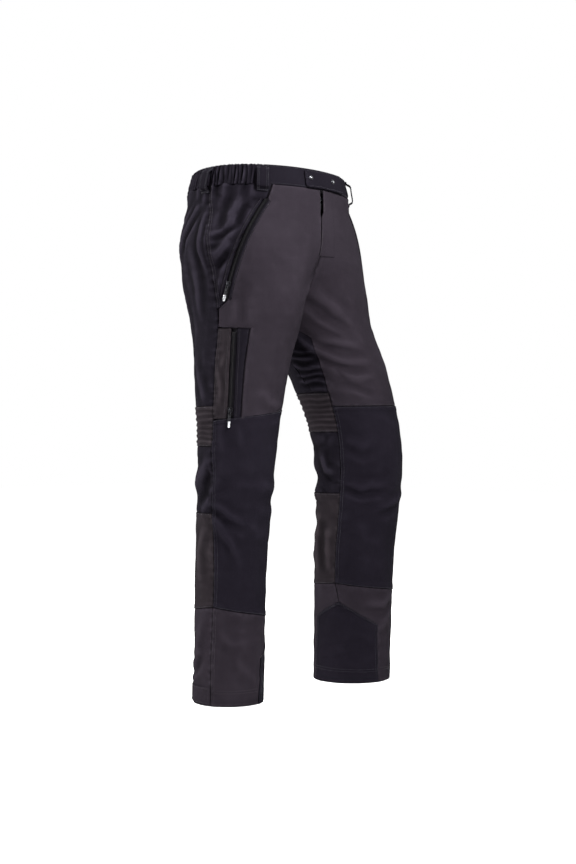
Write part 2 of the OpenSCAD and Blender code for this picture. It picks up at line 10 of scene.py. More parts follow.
import bpy
import numpy as np
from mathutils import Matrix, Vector


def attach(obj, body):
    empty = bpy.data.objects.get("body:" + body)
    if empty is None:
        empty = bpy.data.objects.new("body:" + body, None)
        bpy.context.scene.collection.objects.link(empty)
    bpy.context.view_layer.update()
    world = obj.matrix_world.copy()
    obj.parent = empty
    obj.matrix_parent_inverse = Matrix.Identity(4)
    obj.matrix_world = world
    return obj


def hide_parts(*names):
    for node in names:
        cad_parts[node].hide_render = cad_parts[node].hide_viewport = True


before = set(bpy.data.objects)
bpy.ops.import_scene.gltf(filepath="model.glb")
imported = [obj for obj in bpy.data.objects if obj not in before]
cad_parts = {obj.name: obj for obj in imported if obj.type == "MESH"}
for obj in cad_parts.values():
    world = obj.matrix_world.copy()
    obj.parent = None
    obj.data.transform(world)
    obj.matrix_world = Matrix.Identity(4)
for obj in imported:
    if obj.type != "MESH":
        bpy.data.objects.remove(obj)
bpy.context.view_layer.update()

RIGHT, LEFT = -1, 1
SIDES = {"right": RIGHT, "left": LEFT}
HEM = 1055.0
BAND = 40.0

# ---------------------------------------------------------------- the cloth's surface, in mm

# drop, the leg's centre line (out from the middle, back), half widths on the outside and the inside,
# half depths in front and behind
WAIST_ROWS = [[0, 0, 4, 176, 100, 120, 156], [50, 0, 8, 184, 100, 132, 166]]
ROWS = {
    RIGHT: WAIST_ROWS + [[140, 24, 4, 190, 100, 131, 156], [220, 76, 0, 132, 104, 128, 144],
                         [290, 104, -6, 100, 104, 124, 118], [400, 116, -6, 90, 90, 100, 94],
                         [580, 130, -8, 78, 76, 78, 78], [800, 134, 4, 70, 70, 72, 72],
                         [1055, 134, 10, 70, 70, 70, 70]],
    LEFT: WAIST_ROWS + [[140, 24, 4, 198, 100, 131, 156], [220, 76, 0, 152, 104, 128, 144],
                        [290, 104, -6, 128, 104, 124, 118], [400, 150, -40, 102, 100, 110, 104],
                        [560, 194, -62, 94, 94, 94, 94], [800, 222, -30, 85, 85, 86, 85],
                        [1055, 245, -6, 83, 83, 83, 83]],
}
CROTCH_ROW = 4      # the legs part here, so the curve has a corner


def unit(v):
    return v / np.maximum(np.linalg.norm(v, axis=-1, keepdims=True), 1e-9)


def hermite(s, h, y0, m0, y1, m1):
    """Cubic from y0 to y1 with slopes m0 and m1, a fraction s of the way across a step of h."""
    return ((2 * s**3 - 3 * s**2 + 1) * y0 + (s**3 - 2 * s**2 + s) * h * m0
            + (3 * s**2 - 2 * s**3) * y1 + (s**3 - s**2) * h * m1)


def catmull_rom(a, b, c, d, s):
    """Cubic through b and c, a fraction s of the way between them, with a and d on either side."""
    return 0.5 * (2 * b + (c - a) * s + (2 * a - 5 * b + 4 * c - d) * s**2 + (3 * b - a - 3 * c + d) * s**3)


def running(points):
    """Distance along a line of points, in mm."""
    return np.concatenate([[0], np.cumsum(np.linalg.norm(np.diff(points, axis=0), axis=1))])


def slopes(rows):
    rows = np.array(rows, float)
    last = len(rows) - 1
    out = np.zeros_like(rows)
    for i in range(last + 1):
        if i == 0:
            out[i] = (rows[1] - rows[0]) / (rows[1][0] - rows[0][0])
        elif i in (last, CROTCH_ROW):
            out[i] = (rows[i] - rows[i - 1]) / (rows[i][0] - rows[i - 1][0])
        else:
            above, below = rows[i] - rows[i - 1], rows[i + 1] - rows[i]
            out[i] = np.where(above * below <= 0, 0, (above + below) / (rows[i + 1][0] - rows[i - 1][0]))
    return rows, out


TABLES = {side: slopes(rows) for side, rows in ROWS.items()}


def section(side, drop):
    """The leg's row of measures at a drop."""
    rows, m = TABLES[side]
    d = np.clip(np.asarray(drop, float), 0, HEM)
    i = np.clip(np.searchsorted(rows[:, 0], d, side="right") - 1, 0, len(rows) - 2)
    h = rows[i + 1, 0] - rows[i, 0]
    s = (d - rows[i, 0]) / h
    return hermite(s[..., None], h[..., None], rows[i], m[i], rows[i + 1], m[i + 1])


def centre_turn(side, drop):
    """Turn at which the leg meets the trousers' middle plane, or 400 where it doesn't reach it."""
    c = section(side, drop)
    k = c[..., 1] / c[..., 4]
    return np.where(k >= 1, 400.0, np.degrees(np.arccos(-np.clip(k, -1, 0.99999))))


def base(side, drop, turn, out=0.0):
    """Point of the bare surface, with "out" mm added to its half widths and depths."""
    drop, turn = np.broadcast_arrays(np.asarray(drop, float), np.asarray(turn, float))
    c = section(side, drop)
    limit = centre_turn(side, drop)
    a = np.radians(np.clip(turn, -limit, limit))
    ca, sa = np.cos(a), np.sin(a)
    w = np.where(ca > 0, c[..., 3], c[..., 4]) + out
    depth = np.where(sa > 0, c[..., 5], c[..., 6]) + out
    return np.stack([side * np.maximum(0.4, c[..., 1] + w * ca), c[..., 2] - depth * sa, -drop], -1)


def normal(side, drop, turn):
    drop, turn = np.broadcast_arrays(np.asarray(drop, float), np.asarray(turn, float))
    limit = centre_turn(side, drop)
    t = np.clip(turn, -limit, limit)
    across = base(side, drop, np.minimum(t + 1.2, limit)) - base(side, drop, np.maximum(t - 1.2, -limit))
    down = base(side, drop + 4, t) - base(side, drop - 4, t)
    return unit(np.cross(down, across)) * -side


def turn_at(side, drop, x):
    """Turn on the front, at x mm from the middle plane."""
    c = section(side, drop)
    k = x - c[..., 1]
    return np.degrees(np.arccos(k / np.where(k > 0, c[..., 3], c[..., 4])))


def radius(side, drop):
    c = section(side, drop)
    return (c[..., 3] + c[..., 4] + c[..., 5] + c[..., 6]) / 4


def locate(side, points):
    """Drop, turn and height off the cloth of points near it."""
    drop = -points[..., 2]
    c = section(side, drop)
    u, v = side * points[..., 0] - c[..., 1], c[..., 2] - points[..., 1]
    w, depth = np.where(u > 0, c[..., 3], c[..., 4]), np.where(v > 0, c[..., 5], c[..., 6])
    low, high = np.full_like(u, -30.0), np.full_like(u, 60.0)
    for _ in range(40):
        mid = (low + high) / 2
        outside = (u / (w + mid)) ** 2 + (v / (depth + mid)) ** 2 > 1
        low, high = np.where(outside, mid, low), np.where(outside, high, mid)
    return drop, np.degrees(np.arctan2(v / (depth + low), u / (w + low))), low


# ---------------------------------------------------------------- noise and folds


def waves(x, y, seed, scale, count=7):
    """Smooth noise between about -1 and 1, with features about "scale" wide."""
    rng = np.random.default_rng(seed)
    total = np.zeros(np.broadcast(x, y).shape)
    for _ in range(count):
        angle, phase, size = rng.uniform(0, 2 * math.pi), rng.uniform(0, 2 * math.pi), rng.uniform(0.7, 1.6)
        total += np.sin((x * math.cos(angle) + y * math.sin(angle)) * 2 * math.pi / (scale * size) + phase)
    return total / math.sqrt(count) * 0.8


def smooth(x, low, high):
    k = np.clip((x - low) / (high - low), 0, 1)
    return k * k * (3 - 2 * k)


def window(x, low, high, soft):
    return smooth(x, low - soft, low + soft) * (1 - smooth(x, high - soft, high + soft))


def path_distance(side, drop, turn, path):
    """Distance in mm from a path of (drop, turn), and how far along it, from 0 to 1."""
    path = np.array(path, float)
    r = float(radius(side, path[:, 0].mean())) * math.pi / 180
    px, py = path[:, 1] * r, path[:, 0]
    x, y = turn * r, drop
    lengths = np.hypot(np.diff(px), np.diff(py))
    total, best, along = lengths.sum(), np.full(np.shape(x), 1e9), np.zeros(np.shape(x))
    run = 0.0
    for i in range(len(path) - 1):
        dx, dy = px[i + 1] - px[i], py[i + 1] - py[i]
        k = np.clip(((x - px[i]) * dx + (y - py[i]) * dy) / lengths[i] ** 2, 0, 1)
        off = np.hypot(x - px[i] - k * dx, y - py[i] - k * dy)
        near = off < best
        best = np.where(near, off, best)
        along = np.where(near, (run + k * lengths[i]) / total, along)
        run += lengths[i]
    return best, along


# Folds of each leg: path of (drop, turn), height and half width in mm. A negative height is a crease.
UNDER_SEAT = [([(236, -140), (270, -110), (300, -70)], -2.4, 14),
              ([(262, -150), (306, -116), (340, -70)], 2.6, 14),
              ([(310, -150), (350, -120), (376, -80)], -2.2, 14)]
FOLDS = {
    RIGHT: [
        # right hip and seat, below the gathered band
        ([(66, -8), (104, -22), (150, -34), (190, -40)], 3.0, 7),
        ([(72, -20), (118, -38), (165, -52)], 2.6, 8),
        ([(98, -12), (140, -24), (175, -28)], -2.2, 6),
        ([(62, -32), (110, -52), (150, -64)], 2.2, 8),
        ([(60, -60), (120, -74)], 2.0, 9),
        ([(80, -2), (120, -4), (170, -3), (215, 0)], 2.2, 5),
        ([(150, -14), (230, -12), (300, -16)], 2.4, 10),
        ([(210, -30), (300, -38), (380, -40)], -2.0, 14),
        ([(380, -30), (440, -16), (470, -6)], 1.8, 9),
        # right yoke, a pocket bag's soft bulge
        ([(74, 26), (100, 22), (132, 24)], 2.4, 10),
        ([(118, 30), (142, 18), (150, 8)], -2.4, 6),
        ([(150, 26), (176, 16), (186, 8)], 2.6, 8),
        ([(172, 24), (198, 16), (212, 9)], -2.0, 6),
        ([(196, 22), (232, 15), (262, 12)], 2.0, 6),
        # right thigh front
        ([(262, 24), (290, 26), (318, 24)], 1.8, 7),
        ([(268, 32), (300, 34), (320, 33)], -1.4, 7),
        ([(470, 70), (486, 100), (484, 128)], -1.6, 9),
        ([(440, 60), (466, 84), (470, 112)], 1.6, 12),
        ([(120, 86), (170, 80), (230, 88)], 1.2, 22),
        ([(200, 160), (262, 128), (300, 118)], -1.8, 10),
        ([(180, 150), (232, 120), (270, 104)], 1.6, 12),
        # side strip
        ([(340, 14), (372, 18), (404, 13), (440, 17), (480, 13)], 1.5, 6),
        ([(352, 21), (390, 12), (430, 20), (470, 20)], -1.2, 5),
        # right knee
        ([(505, 34), (530, 44), (556, 46)], 1.6, 7),
        ([(500, 20), (535, 18), (570, 22)], 1.6, 7),
        ([(672, 6), (690, 24), (708, 46), (712, 64)], -3.0, 6),
        ([(662, 8), (678, 30), (694, 56)], 2.6, 7),
        ([(684, 7), (712, 22), (738, 38), (752, 46)], 3.2, 8),
        ([(720, 14), (760, 28), (800, 42)], -3.0, 13),
        ([(700, 60), (722, 96), (726, 130)], 1.6, 14),
        ([(640, 70), (656, 110), (650, 150)], -1.8, 12),
        ([(626, 60), (636, 100), (630, 150)], 1.6, 14),
        ([(600, 30), (610, 60), (596, 90)], -1.0, 9),
        # behind the right knee
        ([(556, 2), (590, -14), (620, -42), (628, -70)], 3.0, 13),
        ([(600, 4), (640, -10), (664, -32)], -4.0, 11),
        ([(570, -60), (600, -90), (590, -130)], 3.0, 14),
        ([(630, -50), (655, -90), (640, -140)], 2.6, 12),
        ([(612, -60), (634, -95), (616, -150)], -3.0, 10),
        ([(700, -10), (760, -22), (820, -16)], 2.0, 9),
        ([(690, -60), (720, -95), (704, -140)], -2.4, 11),
        ([(760, -70), (790, -100), (770, -150)], 1.8, 14),
        # right shin and cuff
        ([(880, 30), (896, 60), (890, 96)], -1.0, 8),
        ([(905, 24), (930, 44), (932, 74)], 1.3, 10),
        ([(880, -6), (930, -20), (980, -26)], 2.0, 8),
        ([(945, -8), (972, -28), (992, -52)], 2.2, 7),
        ([(962, -4), (986, -20), (1006, -34)], -2.0, 6),
        ([(988, -10), (1004, -34), (1008, -60)], 2.0, 6),
        ([(900, -60), (930, -100), (925, -140)], 1.6, 14),
        ([(960, 50), (985, 70), (1010, 96)], 1.2, 10),
        *UNDER_SEAT,
    ],
    LEFT: [
        # left thigh, inner side and crotch
        ([(310, 172), (350, 160), (384, 130)], 2.0, 10),
        ([(250, 150), (292, 130), (322, 104)], -2.0, 10),
        ([(230, 140), (272, 118), (300, 96)], 2.0, 12),
        ([(380, 150), (392, 128), (396, 106)], -1.8, 6),
        ([(402, 150), (412, 124), (410, 100)], 1.8, 7),
        ([(424, 150), (434, 126), (446, 104)], -2.2, 6),
        ([(350, 148), (362, 126), (364, 96)], -1.6, 7),
        ([(334, 150), (342, 128), (340, 100)], 1.6, 8),
        ([(300, 60), (360, 70), (430, 74)], 1.4, 18),
        # left knee
        ([(640, 164), (652, 140), (648, 104)], -2.6, 6),
        ([(624, 164), (634, 136), (628, 100)], 2.0, 9),
        ([(668, 60), (684, 92), (696, 112)], -2.4, 7),
        ([(652, 50), (668, 84), (680, 110)], 1.8, 9),
        ([(555, 160), (572, 140), (560, 118)], -1.4, 7),
        ([(536, 160), (548, 138), (540, 116)], 1.2, 9),
        ([(700, 150), (740, 128), (760, 100)], 1.4, 14),
        ([(480, 120), (500, 90), (496, 60)], 1.2, 16),
        # behind the left knee
        ([(568, -160), (600, 190 - 360), (606, 175 - 360)], 2.4, 8),
        ([(560, -40), (592, -90), (584, -140)], 2.4, 14),
        ([(604, -50), (628, -95), (616, -150)], -3.4, 11),
        ([(640, -40), (660, -90), (650, -150)], 3.0, 12),
        ([(690, -60), (716, -110), (720, -170)], -2.4, 12),
        ([(700, 196 - 360), (770, 200 - 360), (830, 192 - 360)], -3.0, 12),
        ([(690, 206 - 360), (750, 214 - 360), (820, 206 - 360)], 2.6, 12),
        ([(760, -60), (790, -100), (780, -150)], 2.0, 14),
        # left shin
        ([(880, 60), (906, 92), (900, 124)], -2.2, 8),
        ([(862, 64), (884, 92), (880, 128)], 2.2, 10),
        ([(912, 70), (932, 96), (924, 122)], 1.8, 10),
        ([(950, -40), (980, -90), (970, -140)], 1.8, 14),
        ([(900, -20), (950, -30), (1000, -26)], 1.8, 10),
        # left hip and seat
        ([(66, -8), (104, -22), (150, -34), (190, -40)], 2.6, 8),
        ([(62, -34), (110, -52), (150, -64)], 2.2, 9),
        ([(60, -60), (120, -72)], 2.0, 9),
        ([(150, -14), (230, -12), (300, -16)], 2.0, 12),
        ([(118, 30), (142, 18), (150, 8)], -2.2, 6),
        ([(150, 26), (176, 16), (186, 8)], 2.4, 8),
        *UNDER_SEAT,
    ],
}
HIP_FOLDS_END = 265.0
HIP_LIFT, LEG_LIFT = 1.9, 1.4


def folds(side, drop, turn):
    total = np.zeros(np.shape(drop))
    for path, height, half in FOLDS[side]:
        drops = [p[0] for p in path]
        mask = (drop > min(drops) - 4 * half) & (drop < max(drops) + 4 * half)
        if not mask.any():
            continue
        d, t = drop[mask], turn[mask]
        wobble = 2.5 * waves(d, t * 2, 11, 60)
        best = np.full(d.shape, 1e9)
        along = np.zeros(d.shape)
        for shift in (-360, 0, 360):
            off, k = path_distance(side, d + wobble, t + shift, path)
            along = np.where(off < best, k, along)
            best = np.minimum(best, off)
        taper = np.sin(np.pi * np.clip(along, 0.02, 0.98)) ** 0.7
        q = best / half
        lift = HIP_LIFT if max(drops) < HIP_FOLDS_END else LEG_LIFT
        total[mask] += lift * height * taper * (np.exp(-q**2) - 0.35 * np.exp(-((q - 1.9) / 0.8) ** 2))
    return total


def gather_phase(r):
    """Where the waistband's small gathers rise and fall, unevenly around the waist."""
    return 118 * r + 4.4 * np.sin(3 * r + 1) + 3.2 * np.sin(7 * r + 2) + 1.8 * np.sin(17 * r + 0.5)


def gathers(side, drop, turn):
    """Folds that fall from the gathered waistband, all round but the flat front."""
    around = np.radians(turn if side == RIGHT else 180 - turn)
    fine = np.sin(gather_phase(around))
    coarse = np.sin(31 * around + 1.9 * np.sin(4 * around) + 1.1 * np.sin(9 * around + 1))
    back = 1 - smooth(turn, 30, 44)
    below = np.maximum(0, drop - BAND)
    return back * (1.3 * fine * np.exp(-below / 11) + 1.9 * coarse * np.exp(-below / 36))


KNEE_BAND = {RIGHT: (472, 550), LEFT: (442, 522)}


def ribs(side, drop, turn):
    """Cross ribs of the gathered band over the back of the knee, and puckers on the left inner thigh."""
    top, end = KNEE_BAND[side]
    back = 1 - window(np.mod(turn, 360), 8, 160, 4)
    wave = drop + 1.6 * waves(turn * 1.2, drop, 5, 50)
    out = 1.2 * np.sin(wave * 2 * math.pi / 11) * window(drop, top + 5, end - 5, 5) * back
    if side == LEFT:
        inner = window(np.mod(turn, 360), 162, 196, 8)
        out = out + 1.8 * np.sin((drop + 3 * waves(turn, drop, 8, 40)) * 2 * math.pi / 16) * inner \
            * window(drop, 350, 436, 14)
    return out


# Side seams, as (drop, turn)
OUTSEAM_TOP = [(40, -3), (69, -2), (110, 2), (160, 5.6), (212, 6.6), (278, 8.2)]
OUTSEAM = {
    RIGHT: OUTSEAM_TOP + [(320, 8.5), (400, 7.2), (500, 5.5), (560, 4), (680, 6), (780, 14), (862, 14),
                          (900, 13), (965, 12), (1055, 12)],
    LEFT: OUTSEAM_TOP + [(319, 8.5), (400, 7), (465, 5.5), (560, 4), (650, 6), (780, 14), (868, 14),
                         (900, 13), (930, 12), (1055, 12)],
}


def puckers(side, drop, turn):
    """Small dimples where the side seam's stitching draws the cloth in."""
    line = np.array(OUTSEAM[side], float)
    seam = np.interp(drop, line[:, 0], line[:, 1])
    off = (turn - seam) * radius(side, drop) * math.pi / 180
    wave = np.sin(drop * 2 * math.pi / 15 + 2.2 * waves(drop, turn, 21, 45)) + 0.6 * waves(drop, turn * 2, 22, 22)
    return 0.5 * wave * np.exp(-(off / 10) ** 2) * window(drop, 58, 1040, 10)


def lift_to_zip(side, drop, turn):
    """Brings the cloth to the height of the zip that it is sewn to."""
    out = np.zeros(np.shape(drop))
    for zip_side, drops, turns, heights in ZIP_LEVELS:
        if zip_side != side:
            continue
        t, h = np.interp(drop, drops, turns), np.interp(drop, drops, heights)
        off = (turn - t) * radius(side, drop) * math.pi / 180
        out += (h - 0.4) * np.exp(-(off / 24) ** 2) * window(drop, drops[0] - 6, drops[-1] + 8, 10)
    return out


def quiet(side, drop, turn):
    """1 where the cloth may move freely, and 0 beside zips, the fly and the waist tab."""
    k = smooth(drop, 42, 66)
    for zip_side, drops, turns, _ in ZIP_LEVELS:
        if zip_side == side:
            off = (turn - np.interp(drop, drops, turns)) * radius(side, drop) * math.pi / 180
            k = k * (1 - 0.92 * np.exp(-(off / 16) ** 4) * window(drop, drops[0] - 20, drops[-1] + 40, 14))
    x = side * base(side, drop, turn)[..., 0]
    front = (turn > 30) & (turn < 181)
    k = k * (1 - 0.9 * front * np.exp(-(x / 46) ** 4) * (1 - smooth(drop, 172, 205)))
    return k


def circle_centre(a, b, c):
    u, v = b - a, c - a
    w = np.cross(u, v)
    return a + (np.cross(w, u) * (v @ v) + np.cross(v, w) * (u @ u)) / (2 * (w @ w))


class ZipPath:
    """Frame along a zip: distance s in mm gives a point, the way out, the way along and the way across."""

    def __init__(self, side, kind, points, out=None):
        self.side, self.kind = side, kind
        if kind == "arc":
            a, _, c = points
            self.centre = circle_centre(*points)
            self.r = np.linalg.norm(a - self.centre)
            self.axis = unit(np.cross(a - self.centre, c - self.centre))
            self.ex = unit(a - self.centre)
            self.ey = np.cross(self.axis, self.ex)
            self.length = self.r * math.acos(float((a - self.centre) @ (c - self.centre)) / self.r**2)
        else:
            self.a, self.c = points
            self.length = float(np.linalg.norm(self.c - self.a))
            self.y = unit(self.c - self.a)
            self.x = unit(out - (out @ self.y) * self.y)
            self.z = np.cross(self.x, self.y)

    def at(self, s, out=0.0, across=0.0):
        s, out, across = (np.asarray(v, float)[..., None] for v in np.broadcast_arrays(s, out, across))
        if self.kind == "arc":
            radial = self.ex * np.cos(s / self.r) + self.ey * np.sin(s / self.r)
            return self.centre + radial * (self.r + out) + self.axis * across
        return self.a + self.y * s + self.x * out + self.z * across

    def frame(self, s):
        """Point, way out, way along and way across."""
        p = self.at(s)
        x = unit(self.at(s, 1.0) - p)
        y = unit(self.at(s + 0.5) - self.at(s - 0.5))
        return p, x, y, np.cross(x, y)


HIP_ZIPS = {name: ZipPath(side, "arc", [base(side, d, t, -1.5) for d, t in ((70, 45.6), (165, mid), (264, 18))])
            for name, side, mid in (("right", RIGHT, 34), ("left", LEFT, 33.5))}
THIGH_ZIP = ZipPath(RIGHT, "line", [base(RIGHT, 330, 26, -0.5), base(RIGHT, 492, 30, -0.5)],
                    np.array([-0.9, -0.44, 0]))
FLY_ZIP = ZipPath(RIGHT, "line", [base(RIGHT, d, turn_at(RIGHT, d, 5.5), -9) for d in (48.0, 150.0)],
                  np.array([0, -1.0, 0]))
# where the sliders stand, in mm along their zips
SLIDER_AT = {"right": HIP_ZIPS["right"].length - 28, "left": HIP_ZIPS["left"].length - 28,
             "thigh": 150.0, "fly": 8.0}
ZIP_LEVELS = []
for path in (*HIP_ZIPS.values(), THIGH_ZIP):
    d_, t_, h_ = locate(path.side, path.at(np.linspace(0, path.length, 24)))
    ZIP_LEVELS.append((path.side, d_, t_, h_))


# ---------------------------------------------------------------- cloth simulation

SIM_ROWS, SIM_COLS = 116, 64
SIM_TOP = 42.0
SIM_CAP = 4.5          # no point moves further than this, in mm
SIM_FRAMES = 26
SIM_HOLD = 0.42        # pinning of the cloth that may move freely; all of it is 1
sim_offset = {RIGHT: None, LEFT: None}


def simulate():
    """Runs the whole shell of the trousers as cloth with spare length, pinned to its shape.

    The pins let it move by about 0.1 mm, so the folds that show are those of relief().
    """
    drops = np.linspace(SIM_TOP, HEM, SIM_ROWS)
    u = np.linspace(-1, 1, SIM_COLS + 1)
    index, points, rest, hold = {}, [], [], []
    grids = {}
    for side in (RIGHT, LEFT):
        limit = np.minimum(centre_turn(side, drops), 180)
        d, t = np.meshgrid(drops, u, indexing="ij")
        t = t * limit[:, None]
        p = base(side, d, t)
        tm = np.mod(t, 360)
        slack = 0.012 + 0.03 * window(d, 600, 740, 40) + 0.03 * window(d, 900, 1030, 30) \
            + 0.035 * window(d, 290, 450, 30) * window(tm, 120, 250, 20) \
            + 0.05 * window(d, 540, 700, 30) * window(tm, 200, 340, 20) \
            + 0.02 * window(d, 60, 150, 20) * window(tm, 200, 350, 20)
        step = drops[1] - drops[0]
        extra = np.cumsum(slack * step, axis=0)
        q = p.copy()        # the shape that the cloth would like to have
        q[..., 2] -= extra
        centre = p.mean(axis=1, keepdims=True)
        q[..., :2] = centre[..., :2] + (p[..., :2] - centre[..., :2]) * 1.012
        free = quiet(side, d, t)
        w = SIM_HOLD + 0.58 * (1 - free)
        w = np.where(d < SIM_TOP + 1, 1, w)
        w = np.where(d > HEM - 14, 0.75, w)
        grid = np.zeros(d.shape, int)
        for i in range(SIM_ROWS):
            split = limit[i] < 180
            for j in range(SIM_COLS + 1):
                if split and j in (0, SIM_COLS):
                    key = ("centre", i, j)
                elif not split and j == SIM_COLS:
                    key = (side, i, 0)
                else:
                    key = (side, i, j)
                if key not in index:
                    flat = [0, 1, 1] if key[0] == "centre" else [1, 1, 1]
                    index[key] = len(points)
                    points.append(p[i, j] * flat)
                    rest.append(q[i, j] * flat)
                    hold.append(w[i, j])
                grid[i, j] = index[key]
        grids[side] = (grid, d, t, p)
    faces = []
    for side, (grid, *_) in grids.items():
        for i in range(SIM_ROWS - 1):
            for j in range(SIM_COLS):
                quad = [grid[i, j], grid[i + 1, j], grid[i + 1, j + 1], grid[i, j + 1]]
                quad = quad if side == RIGHT else quad[::-1]
                if len(set(quad)) == 4:
                    faces.append(quad)
    mesh = bpy.data.meshes.new("shell_sim")
    mesh.from_pydata((np.array(points) * 0.001).tolist(), [], faces)
    obj = bpy.data.objects.new("shell_sim", mesh)
    bpy.context.scene.collection.objects.link(obj)
    group = obj.vertex_groups.new(name="hold")
    for value in sorted(set(np.round(hold, 2))):
        group.add([i for i, h in enumerate(hold) if round(h, 2) == value], float(value), "REPLACE")
    obj.shape_key_add(name="Basis")
    key = obj.shape_key_add(name="slack")
    key.data.foreach_set("co", (np.array(rest) * 0.001).astype(np.float32).ravel())
    key.value = 0.0
    cloth = obj.modifiers.new("cloth", "CLOTH")
    s = cloth.settings
    s.quality = 5
    s.mass = 0.12
    s.tension_stiffness = s.compression_stiffness = 12
    s.shear_stiffness = 4
    s.bending_model = "ANGULAR"
    s.bending_stiffness = 0.25
    s.vertex_group_mass = "hold"
    s.pin_stiffness = 1.0
    s.rest_shape_key = key
    s.effector_weights.gravity = 0.25
    cloth.collision_settings.use_collision = False
    cloth.collision_settings.use_self_collision = False
    scene = bpy.context.scene
    cloth.point_cache.frame_start, cloth.point_cache.frame_end = 1, SIM_FRAMES
    for n in range(1, SIM_FRAMES + 1):
        scene.frame_set(n)
    moved = np.empty(len(points) * 3, np.float32)
    done = obj.evaluated_get(bpy.context.evaluated_depsgraph_get())
    done.data.vertices.foreach_get("co", moved)
    moved = moved.reshape(-1, 3) * 1000
    scene.frame_set(1)
    bpy.data.objects.remove(obj)
    shift = np.percentile(np.linalg.norm(moved - points, axis=1), [50, 90, 99])
    print("cloth moved by", np.round(shift, 2), "mm")
    for side, (grid, d, t, p) in grids.items():
        off = moved[grid] - p
        size = np.linalg.norm(off, axis=-1, keepdims=True)
        sim_offset[side] = off * (SIM_CAP / (SIM_CAP + size)) * quiet(side, d, t)[..., None]


def sim_at(side, drop, turn):
    """How the simulation moves the cloth there, in mm."""
    grid = sim_offset[side]
    if grid is None:
        return np.zeros(np.shape(drop) + (3,))
    limit = np.minimum(centre_turn(side, drop), 180)
    t = np.where(limit >= 180, np.mod(turn + 180, 360) - 180, np.clip(turn, -limit, limit))
    col = (t / limit + 1) / 2 * SIM_COLS
    row = np.clip((drop - SIM_TOP) / (HEM - SIM_TOP), 0, 1) * (SIM_ROWS - 1)
    i = np.clip(np.floor(row).astype(int), 0, SIM_ROWS - 2)
    s = (row - i)[..., None]

    j = np.clip(np.floor(col).astype(int), 0, SIM_COLS - 1)
    k = (col - j)[..., None]

    def line(r):
        near = (grid[np.clip(r, 0, SIM_ROWS - 1), np.clip(j + m, 0, SIM_COLS)] for m in (-1, 0, 1, 2))
        return catmull_rom(*near, k)

    return catmull_rom(*(line(i + m) for m in (-1, 0, 1, 2)), s)


def crumple(side, drop, turn):
    """Short creases and soft bulges, strongest on the seat, behind the knees and above the cuffs."""
    r = radius(side, drop) * math.pi / 180
    back = 1 - window(np.mod(turn, 360), 12, 160, 12)
    yoke = window(np.mod(turn, 360), -4, 40, 6) * (1 - smooth(drop, 262, 285))
    level = 0.12 + 0.88 * np.maximum(back * (0.4 + 0.6 * window(drop, 500, 720, 60)), yoke)
    level = np.maximum(level, 0.75 * window(drop, 905, 1040, 30))
    level = np.maximum(level, 0.6 * window(drop, 600, 740, 40))
    if side == LEFT:
        level = np.maximum(level, 0.8 * window(drop, 330, 460, 40) * window(np.mod(turn, 360), 100, 200, 24))
    a = waves(drop * 1.5, turn * r, 51 + side, 62, 5)
    b = waves(drop, turn * r, 57 + side, 95, 5)
    sharp = np.exp(-(a / 0.16) ** 2) * smooth(b, -0.1, 0.5)
    swell = waves(drop * 1.3, turn * r, 63 + side, 74, 5)
    return level * (-1.3 * sharp + 0.9 * swell)


def front_seam(side, drop, turn):
    """Groove of the seam that runs from the fly down to the crotch."""
    x = side * base(side, drop, turn)[..., 0]
    return -2.6 * np.exp(-((x - 0.3) / 1.9) ** 2) * smooth(drop, 170, 175) * (1 - smooth(drop, 284, 294)) \
        * ((turn > 60) & (turn < 200))


def relief(side, drop, turn):
    """Height of the cloth's folds and seams above the bare surface, in mm."""
    drop, turn = np.broadcast_arrays(np.asarray(drop, float), np.asarray(turn, float))
    free = quiet(side, drop, turn)
    r = radius(side, drop) * math.pi / 180
    fine = 0.28 * waves(drop, turn * r, 31 + side, 26) + 0.35 * waves(drop * 1.4, turn * r, 41 + side, 60)
    fine = fine + crumple(side, drop, turn)
    return (free * (folds(side, drop, turn) + ribs(side, drop, turn) + puckers(side, drop, turn) + fine)
            + gathers(side, drop, turn) + lift_to_zip(side, drop, turn) + front_seam(side, drop, turn))


def cloth(side, drop, turn, out=0.0, moved=1.0):
    """Points of the finished cloth, in mm."""
    drop, turn = np.broadcast_arrays(np.asarray(drop, float), np.asarray(turn, float))
    n = normal(side, drop, turn)
    p = base(side, drop, turn) + n * (np.asarray(relief(side, drop, turn)) * moved + out)[..., None]
    p = p + sim_at(side, drop, turn) * moved
    # the cloth never sinks into the pad behind it
    sunk = -2.0 - ((p - base(side, drop, turn)) * n).sum(-1) + out
    over_pad = window(drop, 186, 990, 8) * window(np.mod(turn, 360), 20, 156, 6)
    p = p + n * (np.maximum(0, sunk) * over_pad)[..., None]
    p[..., 0] = side * np.maximum(0.3, side * p[..., 0])
    p[..., 2] = np.maximum(p[..., 2], -HEM - 1.0)
    return p


# ---------------------------------------------------------------- mesh helpers

RIDGE_REACH, RIDGE_HEIGHT = 4, 1.5      # in steps of the grid, and in mm


def ridges(height):
    """Height above the neighbourhood's mean, from -1 in hollows to 1 on ridges, for the painted shade and
    highlights.
    """
    size = 2 * RIDGE_REACH + 1
    padded, total = np.pad(height, RIDGE_REACH, mode="edge"), np.zeros(height.shape)
    for i in range(size):
        for j in range(size):
            total += padded[i:i + height.shape[0], j:j + height.shape[1]]
    return np.clip((height - total / size**2) / RIDGE_HEIGHT, -1, 1)


